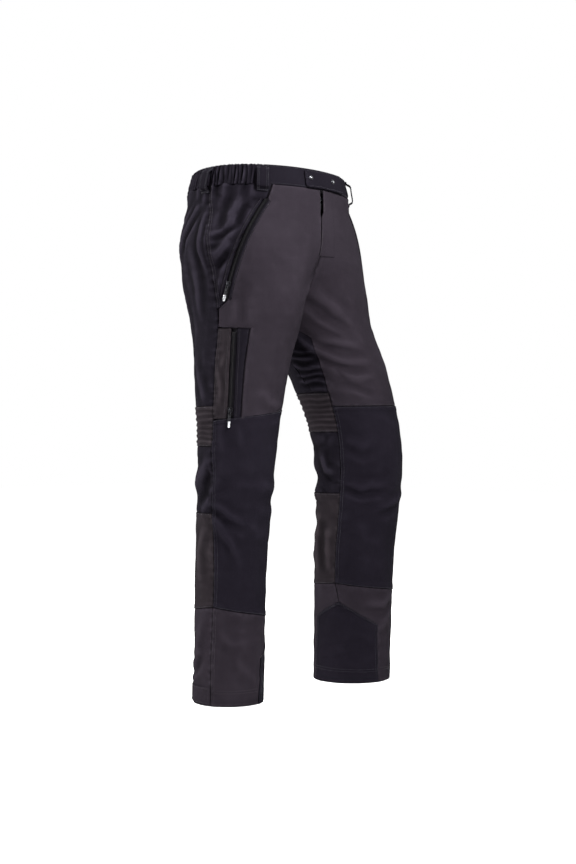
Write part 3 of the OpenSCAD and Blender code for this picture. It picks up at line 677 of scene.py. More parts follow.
def add_mesh(name, verts, faces, material, body="trousers", uv=None, smooth_it=True, wear=None, fold_shading=None):
    mesh = bpy.data.meshes.new(name)
    mesh.from_pydata((np.asarray(verts).reshape(-1, 3) * 0.001).tolist(), [], [list(map(int, f)) for f in faces])
    if uv is not None:
        layer = mesh.uv_layers.new(name="UVMap")
        loops = np.empty(len(mesh.loops), np.int32)
        mesh.loops.foreach_get("vertex_index", loops)
        layer.data.foreach_set("uv", (np.asarray(uv).reshape(-1, 2)[loops] * 0.001).astype(np.float32).ravel())
    for key, values in (("wear", wear), ("fold_shading", fold_shading)):
        if values is not None:
            attr = mesh.attributes.new(key, "FLOAT", "POINT")
            attr.data.foreach_set("value", np.asarray(values, np.float32).ravel())
    mesh.polygons.foreach_set("use_smooth", np.full(len(mesh.polygons), smooth_it))
    obj = bpy.data.objects.new(name, mesh)
    bpy.context.scene.collection.objects.link(obj)
    obj.data.materials.append(material)
    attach(obj, body)
    return obj


def grid_faces(rows, cols, flip=False, wrap=False):
    r, c = np.meshgrid(np.arange(rows - 1), np.arange(cols if wrap else cols - 1), indexing="ij")
    a, b = r * cols + c, r * cols + (c + 1) % cols
    quads = np.stack([a, a + cols, b + cols, b], -1).reshape(-1, 4)
    return quads[:, ::-1] if flip else quads


def capped(rows, cols):
    """Faces of a bar made of rings of points, with a cap at both ends."""
    return ([list(f) for f in grid_faces(rows, cols, wrap=True)]
            + [list(range(cols)), list(range((rows - 1) * cols, rows * cols))[::-1]])


def turned(faces):
    return [f[::-1] for f in faces]


def solidify(obj, thick_mm):
    m = obj.modifiers.new("thick", "SOLIDIFY")
    m.thickness, m.offset, m.use_even_offset = thick_mm * 0.001, -1.0, False


def spaced(stops, step, edges):
    """Stations from 0 to the last stop: near both ends at fixed places, and evenly between the stops."""
    total = stops[-1]
    out = list(stops)
    places = {*edges, *(total - e for e in edges)} if total > 2.6 * edges[-1] else ()
    for p in sorted(places):
        if min(abs(p - q) for q in out) > 0.5:
            out.append(p)
    out.sort()
    full = []
    for a, b in zip(out[:-1], out[1:]):
        n = max(1, math.ceil((b - a) / step))
        full += [a + (b - a) * k / n for k in range(n)]
    return np.array(full + [total])


EDGE_PLACES = [0.9, 2.0, 3.4, 6.0, 8.4, 9.6, 11.2]


def seam_profile(x, kind):
    """Height of the cloth at a distance from its edge."""
    if kind == "over":      # folded edge that lies on its neighbour
        return (0.75 * (1 - smooth(x, 8.6, 10.6)) - 1.0 * np.exp(-(x / 0.8) ** 2)
                - 0.22 * np.exp(-((x - 5) / 1.6) ** 2))
    if kind == "under":
        return -0.9 * np.exp(-(x / 2.2) ** 2)
    if kind == "welt":      # raised edge beside a zip
        return 1.5 * np.exp(-((x - 3.2) / 2.6) ** 2) - 1.4 * np.exp(-(x / 1.1) ** 2)
    if kind == "inset":     # goes up between the two layers of the waistband
        return -1.4 * (1 - smooth(x, 2.4, 5.4))
    if kind == "round":
        return -1.7 * np.exp(-(x / 1.3) ** 2)
    if kind == "hem":
        return -0.5 * np.exp(-(x / 1.6) ** 2)
    if kind == "soft":
        return -0.35 * np.exp(-(x / 2.0) ** 2)
    return np.zeros(np.shape(x))


class Panel:
    """A piece of cloth ruled between two edges of (drop, turn), from top to bottom."""

    def __init__(self, side, a, b, kinds="soft soft soft soft", out=0.0, moved=1.0, step=4.0):
        self.side, self.out, self.moved, self.step = side, out, moved, step
        self.a, self.b = np.array(a, float), np.array(b, float)
        self.kinds = kinds.split()          # kind of edge a, edge b, the top and the bottom
        pa, pb = base(side, self.a[:, 0], self.a[:, 1]), base(side, self.b[:, 0], self.b[:, 1])
        seg = (np.linalg.norm(np.diff(pa, axis=0), axis=1) + np.linalg.norm(np.diff(pb, axis=0), axis=1)) / 2
        self.stops = np.concatenate([[0], np.cumsum(np.maximum(seg, 0.5))])
        self.length = self.stops[-1]

    def edges_at(self, s):
        k = np.arange(len(self.stops))
        at = np.interp(s, self.stops, k)
        d0, d1, t0, t1 = (np.interp(at, k, e[:, c]) for c in (0, 1) for e in (self.a, self.b))
        l0, l1 = centre_turn(self.side, d0), centre_turn(self.side, d1)
        return d0, np.clip(t0, -l0, l0), d1, np.clip(t1, -l1, l1)

    def width(self, s):
        """Distances in mm across the piece, and the fractions across that they belong to."""
        d0, t0, d1, t1 = self.edges_at(s)
        k = np.linspace(0, 1, 25)[:, None]
        p = base(self.side, d0 + (d1 - d0) * k, t0 + (t1 - t0) * k)
        run = np.concatenate([np.zeros((1, len(np.atleast_1d(s)))),
                              np.cumsum(np.linalg.norm(np.diff(p, axis=0), axis=-1), axis=0)])
        return run, np.linspace(0, 1, 25)

    def fraction(self, s, x):
        """Fraction across the piece at x mm from edge a, or from edge b where x is negative."""
        run, f = self.width(s)
        return np.array([np.interp(xx if xx >= 0 else run[-1, i] + xx, run[:, i], f)
                         for i, xx in enumerate(np.broadcast_to(x, len(s)))])

    def place(self, s, f):
        d0, t0, d1, t1 = self.edges_at(s)
        return d0 + (d1 - d0) * f, t0 + (t1 - t0) * f

    def seams(self, *distances):
        """Height that the seams give, from the distances to edge a, edge b, the top and the bottom."""
        return sum(seam_profile(x, kind) for x, kind in zip(distances, self.kinds))

    def grid(self):
        s = spaced(list(self.stops), self.step, EDGE_PLACES)
        run, f = self.width(s)
        widths = run[-1]
        mean = float(np.median(widths))
        x = spaced([0, mean], self.step, EDGE_PLACES)
        e = EDGE_PLACES[-1]
        cols = []
        for w in widths:
            if mean > 2.6 * e and w > 2.4 * e:      # the places beside the edges keep their distance
                mid = x[(x > e) & (x < mean - e)]
                row = np.concatenate([x[x <= e], e + (mid - e) * (w - 2 * e) / (mean - 2 * e),
                                      w - mean + x[x >= mean - e]])
            else:
                row = x * w / mean
            cols.append(row)
        xs = np.array(cols)
        fr = np.array([np.interp(xs[i], run[:, i], f) for i in range(len(s))])
        ss = np.repeat(s[:, None], xs.shape[1], 1)
        d, t = self.place(ss, fr)
        xa, xb = xs, widths[:, None] - xs
        xt, xe = ss, self.length - ss
        h = self.seams(xa, xb, xt, xe)
        p = cloth(self.side, d, t, self.out + h, self.moved)
        flat = base(self.side, d, t, self.out)
        uv = np.stack([xs - mean / 2, -ss], -1)
        edge = np.minimum(np.minimum(xa, xb), np.minimum(xt, xe))
        if self.kinds[1] == "none":     # no seam shows beside the fly
            edge = np.where((xb < 12) & (d < 173.3) & (self.side == LEFT), 12, edge)
        wear = np.exp(-edge / 3.5)
        height = ((p - base(self.side, d, t)) * normal(self.side, d, t)).sum(-1) - self.out - h
        # the last value is the ridge map that paints highlights on ridges and shade in hollows
        return p, flat, uv, wear, ridges(height)

    def build(self, name, material, nodes, thick=1.6, held="hung", slot=None):
        p, flat, uv, wear, fold_shading = self.grid()
        rows, cols = p.shape[:2]
        obj = add_mesh(name, p, grid_faces(rows, cols, flip=self.side == LEFT), material, uv=uv, wear=wear,
                       fold_shading=fold_shading)
        solidify(obj, thick)
        if nodes:
            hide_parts(*nodes)
        return obj

    def line(self, where, x, start, end):
        """Points and normals along an edge (a, b, top or end), x mm in from it, for stitching."""
        if where in "ab":
            s = np.arange(start, self.length - end, 1.0)
            f = self.fraction(s, x if where == "a" else -x)
            w = self.width(s)[0][-1]
            xa = np.full(len(s), float(x)) if where == "a" else w - x
        else:
            at = x if where == "t" else self.length - x
            run, fr = self.width(np.array([at]))
            w = float(run[-1, 0])
            xa = np.arange(start, w - end, 1.0)
            s = np.full(len(xa), at)
            f = np.interp(xa, run[:, 0], fr)
        d, t = self.place(s, f)
        p = cloth(self.side, d, t, self.out + self.seams(xa, w - xa, s, self.length - s), self.moved)
        return p, normal(self.side, d, t)


STITCH, STITCH_GAP, THREAD_RADIUS, THREAD_SIDES = 2.7, 1.1, 0.34, 6


def stitches(name, lines, material, body="trousers"):
    """Sewn thread: one short raised strand for each stitch along the lines of (points, normals)."""
    ring = THREAD_SIDES
    verts, faces = [], []
    for p, n in lines:
        if len(p) < 4:
            continue
        run = running(p)
        starts = np.arange(0.5, run[-1] - STITCH, STITCH + STITCH_GAP)
        if not len(starts):
            continue
        ks = np.array([0.0, 0.3, 0.7, 1.0])
        at = starts[:, None] + ks * STITCH
        q = np.stack([np.interp(at, run, p[:, c]) for c in range(3)], -1)
        m = unit(np.stack([np.interp(at, run, n[:, c]) for c in range(3)], -1))
        y = unit(np.repeat((q[:, -1] - q[:, 0])[:, None], 4, 1))
        z = np.cross(y, m)
        lift = np.array([-0.25, 0.22, 0.22, -0.25])[None, :, None]
        size = np.array([0.5, 1.0, 1.0, 0.5]) * THREAD_RADIUS
        ang = np.arange(ring) * 2 * math.pi / ring
        v = (q + m * lift)[:, :, None, :] + size[None, :, None, None] * (
            z[:, :, None, :] * np.cos(ang)[None, None, :, None] * 1.1
            + m[:, :, None, :] * np.sin(ang)[None, None, :, None])
        first = sum(len(x) for x in verts)
        verts.append(v.reshape(-1, 3))
        strand = first + np.arange(len(starts)) * 4 * ring
        for k in range(3):
            for j in range(ring):
                a, b = k * ring + j, k * ring + (j + 1) % ring
                faces.append(np.stack([strand + a, strand + b, strand + b + ring, strand + a + ring], -1))
    add_mesh(name, np.concatenate(verts), np.concatenate(faces), material, body)


def ribbon(name, centres, sides, outs, half_w, half_t, material, body="trousers", n=20, nodes=()):
    """A strap: a rounded flat section swept along its centre line."""
    centres, sides, outs = map(np.asarray, (centres, sides, outs))
    ang = (np.arange(n) + 0.5) * 2 * math.pi / n
    cx = np.sign(np.cos(ang)) * np.abs(np.cos(ang)) ** 0.35
    cy = np.sign(np.sin(ang)) * np.abs(np.sin(ang)) ** 0.7
    w = np.broadcast_to(half_w, len(centres))
    h = np.broadcast_to(half_t, len(centres))
    v = (centres[:, None] + sides[:, None] * (cx[None, :, None] * w[:, None, None])
         + outs[:, None] * (cy[None, :, None] * h[:, None, None]))
    uv = np.stack([np.broadcast_to(cx * float(np.mean(w)), (len(centres), n)),
                   np.repeat(running(centres)[:, None], n, 1)], -1)
    obj = add_mesh(name, v, capped(len(centres), n), material, body, uv)
    if nodes:
        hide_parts(*nodes)
    return obj


def tube(points, r, sides):
    points = np.asarray(points, float)
    t = unit(np.gradient(points, axis=0))
    ref = np.array([0.31, 0.52, 0.79])
    u = unit(np.cross(t, ref))
    v = np.cross(t, u)
    ang = np.arange(sides) * 2 * math.pi / sides
    r = np.broadcast_to(r, len(points))
    ring = points[:, None] + (u[:, None] * np.cos(ang)[None, :, None]
                              + v[:, None] * np.sin(ang)[None, :, None]) * r[:, None, None]
    faces = capped(len(points), sides)
    return ring.reshape(-1, 3), faces[:-2] + turned(faces[-2:])


def join(parts):
    verts, faces, n = [], [], 0
    for v, f in parts:
        verts.append(np.asarray(v).reshape(-1, 3))
        faces += [[int(i) + n for i in q] for q in f]
        n += len(verts[-1])
    return np.concatenate(verts), faces


def plate(outline, low, high, bevel=0.25):
    """A flat solid with rounded rims: outline is (y, z) points, low and high its faces along x."""
    o = np.asarray(outline, float)
    centre = o.mean(axis=0)
    rings = []
    for x, inset in ((low, bevel), (low + bevel * 0.4, bevel * 0.3), (low + bevel, 0), (high - bevel, 0),
                     (high - bevel * 0.4, bevel * 0.3), (high, bevel), (high, bevel * 2.4)):
        d = o - centre
        size = np.linalg.norm(d, axis=1, keepdims=True)
        q = centre + d * (size - inset) / size
        rings.append(np.column_stack([np.full(len(q), x), q]))
    v = np.array(rings)
    faces = capped(len(v), len(o))
    return v.reshape(-1, 3), faces[:-2] + turned(faces[-2:])


def rounded(half_y, half_z, r, n, cy):
    pts = []
    for sy, sz, a0 in ((1, 1, 0), (-1, 1, 90), (-1, -1, 180), (1, -1, 270)):
        for k in range(n):
            a = math.radians(a0 + 90 * k / (n - 1))
            pts.append((cy + sy * (half_y - r) + r * math.cos(a), sz * (half_z - r) + r * math.sin(a)))
    return pts


# ---------------------------------------------------------------- materials


class Nodes:
    def __init__(self, name):
        self.mat = bpy.data.materials.new(name)
        self.mat.use_nodes = True
        self.tree = self.mat.node_tree
        self.bsdf = self.tree.nodes["Principled BSDF"]

    def new(self, kind, **values):
        node = self.tree.nodes.new(kind)
        for k, v in values.items():
            setattr(node, k, v)
        return node

    def wire(self, a, b):
        self.tree.links.new(a, b)

    def math(self, op, a, b=None):
        n = self.new("ShaderNodeMath", operation=op)
        for i, v in enumerate((a,) if b is None else (a, b)):
            if isinstance(v, (int, float)):
                n.inputs[i].default_value = v
            else:
                self.wire(v, n.inputs[i])
        return n.outputs[0]

    def noise(self, vector, scale, detail=3.0, rough=0.55, stretch=None):
        if stretch:
            m = self.new("ShaderNodeVectorMath", operation="MULTIPLY")
            self.wire(vector, m.inputs[0])
            m.inputs[1].default_value = stretch
            vector = m.outputs[0]
        n = self.new("ShaderNodeTexNoise")
        n.inputs["Scale"].default_value = scale
        n.inputs["Detail"].default_value = detail
        n.inputs["Roughness"].default_value = rough
        self.wire(vector, n.inputs["Vector"])
        return n.outputs["Fac"]

    def mix(self, fac, a, b):
        n = self.new("ShaderNodeMix", data_type="RGBA")
        for socket, v in ((n.inputs[0], fac), (n.inputs[6], a), (n.inputs[7], b)):
            if isinstance(v, (int, float)):
                socket.default_value = v
            elif isinstance(v, tuple):
                socket.default_value = (*v, 1)
            else:
                self.wire(v, socket)
        return n.outputs[2]

    def ramp(self, value, low, high, a=0.0, b=1.0):
        n = self.new("ShaderNodeMapRange")
        self.wire(value, n.inputs[0])
        for i, v in enumerate((low, high, a, b)):
            n.inputs[i + 1].default_value = v
        return n.outputs[0]

    def bump(self, height, strength, distance, previous=None):
        n = self.new("ShaderNodeBump")
        n.inputs["Strength"].default_value = strength
        n.inputs["Distance"].default_value = distance
        self.wire(height, n.inputs["Height"])
        if previous is not None:
            self.wire(previous, n.inputs["Normal"])
        return n.outputs[0]


SHEEN_TINT = (0.6, 0.58, 0.62)


def fabric(name, dark, light, pitch, weave, rough, sheen=0.0, wear=0.5, contrast=0.5):
    """Woven cloth: threads "pitch" mm apart, scuffed seams, painted highlights on the ridges of folds and painted
    shade in their hollows.
    """
    m = Nodes(name)
    coord = m.new("ShaderNodeTexCoord")
    uv = coord.outputs["UV"]
    obj = coord.outputs["Object"]
    split = m.new("ShaderNodeSeparateXYZ")
    m.wire(uv, split.inputs[0])
    k = 2 * math.pi / (pitch * 0.001)
    u, v = m.math("MULTIPLY", split.outputs[0], k), m.math("MULTIPLY", split.outputs[1], k)
    if weave == "twill":
        warp = m.math("SINE", m.math("ADD", u, v))
        cross = m.math("SINE", m.math("MULTIPLY", m.math("SUBTRACT", u, v), 2.0))
        thread = m.math("ADD", m.math("MULTIPLY", warp, 0.42), m.math("MULTIPLY", cross, 0.12))
    elif weave == "plain":
        thread = m.math("MULTIPLY", m.math("SINE", u), m.math("SINE", v))
        thread = m.math("MULTIPLY", thread, 0.5)
    else:   # knit ribs across
        thread = m.math("ADD", m.math("MULTIPLY", m.math("SINE", v), 0.35),
                        m.math("MULTIPLY", m.math("SINE", m.math("MULTIPLY", u, 0.5)), 0.2))
    thread = m.math("ADD", thread, 0.5)
    yarn = m.noise(uv, 1500.0, 2.0, 0.6, (1.0, 0.25, 1.0))
    weft = m.noise(uv, 1300.0, 2.0, 0.6, (0.22, 1.0, 1.0))
    blotch = m.noise(obj, 9.0, 4.0, 0.6)
    broad = m.noise(obj, 2.6, 2.0, 0.5)
    tone = m.math("ADD", m.math("MULTIPLY", m.math("ADD", yarn, weft), 0.25),
                  m.math("MULTIPLY", thread, 0.35))
    tone = m.math("ADD", tone, m.math("MULTIPLY", m.math("SUBTRACT", blotch, 0.5), 0.45))
    tone = m.math("ADD", tone, m.math("MULTIPLY", m.math("SUBTRACT", broad, 0.5), 0.35))
    tone = m.ramp(tone, 0.25, 1.05)
    colour = m.mix(tone, dark, light)
    edge = m.new("ShaderNodeAttribute", attribute_name="wear")
    scuff = m.math("MULTIPLY", edge.outputs["Fac"], m.ramp(m.noise(obj, 120.0, 3.0), 0.42, 0.7))
    worn = tuple(min(1.0, c * 1.5 + 0.004) for c in light)
    colour = m.mix(m.math("MULTIPLY", scuff, wear), colour, worn)
    colour = m.mix(m.ramp(edge.outputs["Fac"], 0.62, 0.9, 0.0, 0.75), colour, tuple(c * 0.35 for c in dark))
    # painted highlight on the ridges of the folds, and painted shade in their hollows
    fold_shading = m.new("ShaderNodeAttribute", attribute_name="fold_shading").outputs["Fac"]
    colour = m.mix(m.ramp(fold_shading, 0.05, 1.0, 0.0, 0.6 * contrast), colour, tuple(c * 1.9 for c in light))
    hollow_shade = m.ramp(m.math("MULTIPLY", fold_shading, -1.0), 0.05, 1.0, 0.0, 0.85 * contrast)
    colour = m.mix(hollow_shade, colour, tuple(c * 0.35 for c in dark))
    m.wire(colour, m.bsdf.inputs["Base Color"])
    m.wire(m.ramp(tone, 0.0, 1.0, rough + 0.06, rough - 0.08), m.bsdf.inputs["Roughness"])
    m.bsdf.inputs["Sheen Weight"].default_value = sheen
    m.bsdf.inputs["Sheen Roughness"].default_value = 0.5
    m.bsdf.inputs["Sheen Tint"].default_value = (*SHEEN_TINT, 1)
    m.bsdf.inputs["Specular IOR Level"].default_value = 0.02
    crease = m.noise(obj, 70.0, 4.0, 0.62)
    n = m.bump(crease, 0.35, 0.0012)
    n = m.bump(thread, 0.45, 0.00016, n)
    n = m.bump(m.math("ADD", yarn, weft), 0.3, 0.00012, n)
    m.wire(n, m.bsdf.inputs["Normal"])
    return m.mat


def metal(name, colour, rough):
    m = Nodes(name)
    coord = m.new("ShaderNodeTexCoord")
    fleck = m.noise(coord.outputs["Object"], 900.0, 3.0)
    m.bsdf.inputs["Metallic"].default_value = 1.0
    m.wire(m.mix(m.ramp(fleck, 0.3, 0.7), tuple(c * 0.8 for c in colour), colour), m.bsdf.inputs["Base Color"])
    m.wire(m.ramp(fleck, 0.3, 0.75, rough, rough + 0.16), m.bsdf.inputs["Roughness"])
    m.wire(m.bump(fleck, 0.2, 0.0001), m.bsdf.inputs["Normal"])
    return m.mat


def plastic(name, colour, rough):
    m = Nodes(name)
    coord = m.new("ShaderNodeTexCoord")
    fleck = m.noise(coord.outputs["Object"], 1600.0, 2.0)
    m.wire(m.mix(m.ramp(fleck, 0.3, 0.7), tuple(c * 0.75 for c in colour), colour), m.bsdf.inputs["Base Color"])
    m.wire(m.ramp(fleck, 0.3, 0.7, rough, rough + 0.12), m.bsdf.inputs["Roughness"])
    m.bsdf.inputs["Specular IOR Level"].default_value = 0.2
    m.wire(m.bump(fleck, 0.25, 0.00008), m.bsdf.inputs["Normal"])
    return m.mat


GREY = fabric("grey_canvas", (0.0110, 0.0088, 0.0118), (0.0292, 0.0240, 0.0310), 1.15, "twill", 0.92,
              contrast=0.22)
BLACK = fabric("black_canvas", (0.0050, 0.0042, 0.0066), (0.0146, 0.0124, 0.0184), 1.3, "twill", 0.88,
               wear=0.3, contrast=0.2)
SEAT = fabric("seat_canvas", (0.0036, 0.0030, 0.0048), (0.0124, 0.0106, 0.0152), 1.0, "plain", 0.86,
              wear=0.3, contrast=0.8)
STRETCH = fabric("stretch_weave", (0.0090, 0.0072, 0.0088), (0.0240, 0.0196, 0.0225), 1.5, "rib", 0.85)
LINING = fabric("lining_mesh", (0.055, 0.05, 0.06), (0.13, 0.12, 0.14), 2.2, "plain", 0.9, 0.1, wear=0.2)
ELASTIC = fabric("elastic_webbing", (0.03, 0.03, 0.034), (0.10, 0.10, 0.11), 2.4, "rib", 0.85, 0.1)
FIBRE = fabric("cut_fibre", (0.5, 0.46, 0.38), (0.75, 0.7, 0.6), 1.8, "rib", 0.9, 0.4)
TAPE = fabric("zip_tape", (0.003, 0.0027, 0.0036), (0.008, 0.007, 0.009), 0.9, "rib", 0.85)
THREAD_DARK = fabric("thread_black", (0.008, 0.008, 0.011), (0.02, 0.02, 0.026), 0.5, "rib", 0.6, 0.3)
THREAD_GREY = fabric("thread_grey", (0.0115, 0.0095, 0.012), (0.030, 0.025, 0.031), 0.5, "rib", 0.6, 0.3)
TEETH = plastic("zip_teeth", (0.006, 0.0055, 0.007), 0.55)
CORD = plastic("puller_cord", (0.014, 0.014, 0.017), 0.6)
MOULD = plastic("puller_end", (0.02, 0.02, 0.024), 0.42)
SLIDER = metal("slider_metal", (0.035, 0.035, 0.04), 0.42)
BRIGHT = metal("bright_metal", (0.72, 0.73, 0.76), 0.2)
GUN = metal("snap_metal", (0.05, 0.05, 0.056), 0.34)

simulate()

# ---------------------------------------------------------------- cloth panels

KNEE_TOP_OUT = {RIGHT: 500, LEFT: 465}
KNEE_TOP_IN = {RIGHT: 472, LEFT: 470}
CALF_TOP = {RIGHT: 680, LEFT: 650}
KNEE_END_OUT = {RIGHT: 862, LEFT: 868}
KNEE_END_IN = {RIGHT: 895, LEFT: 840}
PEAK = {RIGHT: 915, LEFT: 880}
TOP = 37.4             # the panels go this far up between the layers of the waistband


def at_x(side, drop, x):
    return (drop, float(turn_at(side, np.array(float(drop)), x)))


def zip_edge(path, across, stations=9):
    """Edge of the cloth beside a zip, at a distance from its middle."""
    s = np.linspace(0, path.length, stations)
    d, t, _ = locate(path.side, path.at(s, 0.0, across))
    return [(float(a), float(b)) for a, b in zip(d, t)]


def resample(edge, drops):
    e = np.array(edge, float)
    return [(float(d), float(np.interp(d, e[:, 0], e[:, 1]))) for d in drops]


panels, threads = {}, {name: {"dark": [], "grey": []} for name in ("right", "left", "waist")}
SLIT = 5.4             # from the middle of a zip to the cloth beside it
for name, side in SIDES.items():
    path = HIP_ZIPS[name]
    # across runs towards the back on the right and towards the front on the left
    toward_front = max((1, -1), key=lambda k: float(locate(side, path.at(100.0, 0.0, 10.0 * k))[1]))
    front_edge = zip_edge(path, SLIT * toward_front)
    yoke_edge = zip_edge(path, -SLIT * toward_front)
    drops = [TOP, 55, 66, 70.5, 90, 110, 135, 160, 186, 212, 240, 264, 272]
    front_line = resample([(TOP, 49.6), (66, 46.7)] + front_edge + [(272, 17.8), (285, 9.8)], drops)
    yoke_drops = drops + [283.4]
    yoke_line = resample([(TOP, 49.2), (66, 46.1)] + yoke_edge + [(272, 16.2), (283.4, 10.8)], yoke_drops)
    top, peak = KNEE_TOP_OUT[side], PEAK[side]
    low_side = [(319, 8.6), (322, 42.2), (400, 43.2), (498, 44.2)] if side == RIGHT else \
        [(319, 8.6), (332, 8.3), (400, 7.1), (top, 6)]
    root = 10 if side == RIGHT else 32.2
    inner = [at_x(side, d, root) for d in (TOP, 55, 66, 70.5, 90, 110, 135, 160, 172.1)] \
        + [(172.3, 180), (215, 180), (250, 180), (268, 180), (280, 180)]
    panels[name + "_thigh_front"] = Panel(
        side, front_line + [(285, 9.8)] + low_side,
        inner + [(289, 180), (330, 154.2), (390, 160), (KNEE_TOP_IN[side], 162)], "welt none inset under")
    knee_inseam = [(KNEE_TOP_IN[side], 162), (560, 166), (CALF_TOP[side], 168)]
    panels[name + "_knee_front"] = Panel(
        side, [(top, 5.6), (560, 4.2), (CALF_TOP[side], 6.2), (780, 14.2), (KNEE_END_OUT[side], 14.2)],
        knee_inseam + [(780, 170), (KNEE_END_IN[side], 170)],
        "over over over over")
    panels[name + "_shin_front"] = Panel(
        side, [(KNEE_END_OUT[side], 14.2), (900, 13.2), (peak + 50, 12.2), (HEM, 12.2)],
        [(KNEE_END_IN[side], 170), (peak, 163.5), (peak + 50, 104.3), (HEM, 98.3)], "over under under hem")
    seam = resample(OUTSEAM[side], yoke_drops)
    panels[name + "_hip_yoke"] = Panel(side, seam, yoke_line, "over welt inset soft", step=3.6)
    band_top, band_end = KNEE_BAND[side]
    band_turn = 176 if side == RIGHT else 182
    back = [(293, -177.8), (340, 203 - 360), (390, 196 - 360), (band_top - 1, band_turn - 360)]
    panels[name + "_seat"] = Panel(
        side, [(d, -180) for d in (TOP, 110, 160, 212, 278, 289)] + [(p[0] + 1, p[1]) for p in back],
        resample(OUTSEAM[side], (TOP, 110, 160, 212, 278, 289, 303, 330, 390, band_top)),
        "soft under inset under", step=3.6)
    band_in = (band_end, resample(knee_inseam, [band_end])[0][1] - 360)
    band_out = resample(OUTSEAM[side], (band_top, band_end))
    panels[name + "_knee_back_band"] = Panel(side, [(band_top, -198), band_in], band_out,
                                             "soft under over over", step=3.4)
    panels[name + "_knee_back"] = Panel(
        side, [band_in, (560, -194), (CALF_TOP[side], -192)], [band_out[1], (560, 4), (CALF_TOP[side], 6)],
        "under under under under")
    panels[name + "_calf_back"] = Panel(
        side, [(CALF_TOP[side], -192), (780, -190), (KNEE_END_IN[side], -190)],
        [(CALF_TOP[side], 6), (780, 14), (KNEE_END_OUT[side], 14)], "under under over over")
    panels[name + "_ankle_back"] = Panel(
        side, [(KNEE_END_IN[side], -190), (peak, -196.5), (peak + 35, -152), (HEM, -148)],
        [(KNEE_END_OUT[side], 14), (900, 13), (peak + 50, 12), (HEM, 12)], "under under under hem")
    panels[name + "_inner_thigh_gusset"] = Panel(
        side, [(292, 178), (330, 154), (390, 160), (band_top - 1, 162)],
        [(292, 182), (340, 203), (390, 196), (band_top - 1, band_turn)],
        "under under soft soft")
    panels[name + "_kick_patch"] = Panel(
        side, [(peak + 1, 161.5), (peak + 50, 104), (HEM, 98)], [(peak + 1, 165.5), (peak + 35, 208), (HEM, 212)],
        "over over over hem")

drops = (321.5, 335, 380, 430, 470, 497)
outer, inner = (resample([(321.5, edge[0][1] - 0.3)] + edge + [(499, edge[-1][1])], drops)
                for edge in sorted((zip_edge(THIGH_ZIP, k * SLIT) for k in (1, -1)), key=lambda e: e[0][1]))
panels["thigh_side_strip"] = Panel(RIGHT, resample([(322, 8.5), (400, 7.2), (499, 5.7)], drops), outer,
                                   "over welt under under", step=3.4)
panels["thigh_zip_welt"] = Panel(RIGHT, inner, resample([(322, 42), (400, 43), (499, 44)], drops),
                                 "welt soft under under", step=3.0)

welts = {}
for name, side in SIDES.items():
    path = HIP_ZIPS[name]
    for k, where in ((-1, "a"), (1, "b")):
        gap = 6.7 if k == side else 5.3     # wider where the slider leans over the welt
        near, far = zip_edge(path, gap * k, 13), zip_edge(path, 12.6 * k, 13)
        first, second = (near, far) if near[6][1] < far[6][1] else (far, near)
        kinds = "welt round soft soft" if first is near else "round welt soft soft"
        welts[f"{name}_hip_welt_{where}"] = (Panel(side, first, second, kinds, out=1.3, step=2.4),
                                             "b" if first is near else "a")

LOOK = {"thigh_front": (GREY, "hung"), "knee_front": (BLACK, "hung"), "shin_front": (GREY, "hung"),
        "hip_yoke": (SEAT, "hung"), "seat": (SEAT, "hung"), "knee_back_band": (STRETCH, "gathered"),
        "knee_back": (SEAT, "hung"), "calf_back": (STRETCH, "hung"), "ankle_back": (GREY, "hung"),
        "inner_thigh_gusset": (SEAT, "hung"), "kick_patch": (BLACK, "hung"),
        "thigh_side_strip": (STRETCH, "hung"), "thigh_zip_welt": (SEAT, "hung")}
for name, panel in panels.items():
    key = name if name in LOOK else name.split("_", 1)[1]
    material, held = LOOK[key]
    panel.build(name + "_cloth", material, [name], held=held)

for name, (panel, outer_edge) in welts.items():
    panel.build(name + "_cloth", SEAT, [], thick=0.9, slot="black_canvas")
    threads[name.split("_")[0]]["grey"].append(panel.line(outer_edge, 1.6, 2, 2))

# seams: the piece, its edges, how far in the lines run, and what is left bare at both ends
SEAMS = {
    "dark": [("knee_front", "ab", (2.2, 7.6), 3, 3), ("kick_patch", "ab", (2.2, 7.6), 3, 6),
             ("knee_front", "te", (2.2,), 3, 3), ("calf_back", "te", (2.4,), 3, 3),
             ("knee_back_band", "te", (2.4,), 3, 3), ("seat", "a", (2.6, 7.6), 4, 180),
             ("kick_patch", "e", (26.0, 31.0), 3, 3)],
    "grey": [("shin_front", "a", (2.2, 7.6), 3, 2), ("hip_yoke", "a", (2.2, 7.6), 3, 3),
             ("thigh_front", "e", (2.4,), 3, 3), ("shin_front", "e", (26.0, 31.0), 3, 3),
             ("ankle_back", "e", (26.0, 31.0), 3, 3)],
}
for name in SIDES:
    for tone, rows in SEAMS.items():
        threads[name][tone] += [panels[f"{name}_{piece}"].line(edge, x, start, end)
                                for piece, edges, places, start, end in rows for x in places for edge in edges]
threads["right"]["grey"] += [panels[piece].line(edge, x, start, end) for piece, edge, x, start, end in (
    ("thigh_side_strip", "a", 2.2, 3, 3), ("thigh_side_strip", "a", 7.6, 3, 3),
    ("thigh_side_strip", "b", 6.4, 3, 3), ("thigh_zip_welt", "a", 6.4, 3, 3),
    ("right_thigh_front", "t", 265.0, 6, 290))]

# ---------------------------------------------------------------- inner layers

LINING_OUT, POCKET_OUT, FACING_OUT = -17.4, -8.7, -2.4      # their height off the cloth's surface

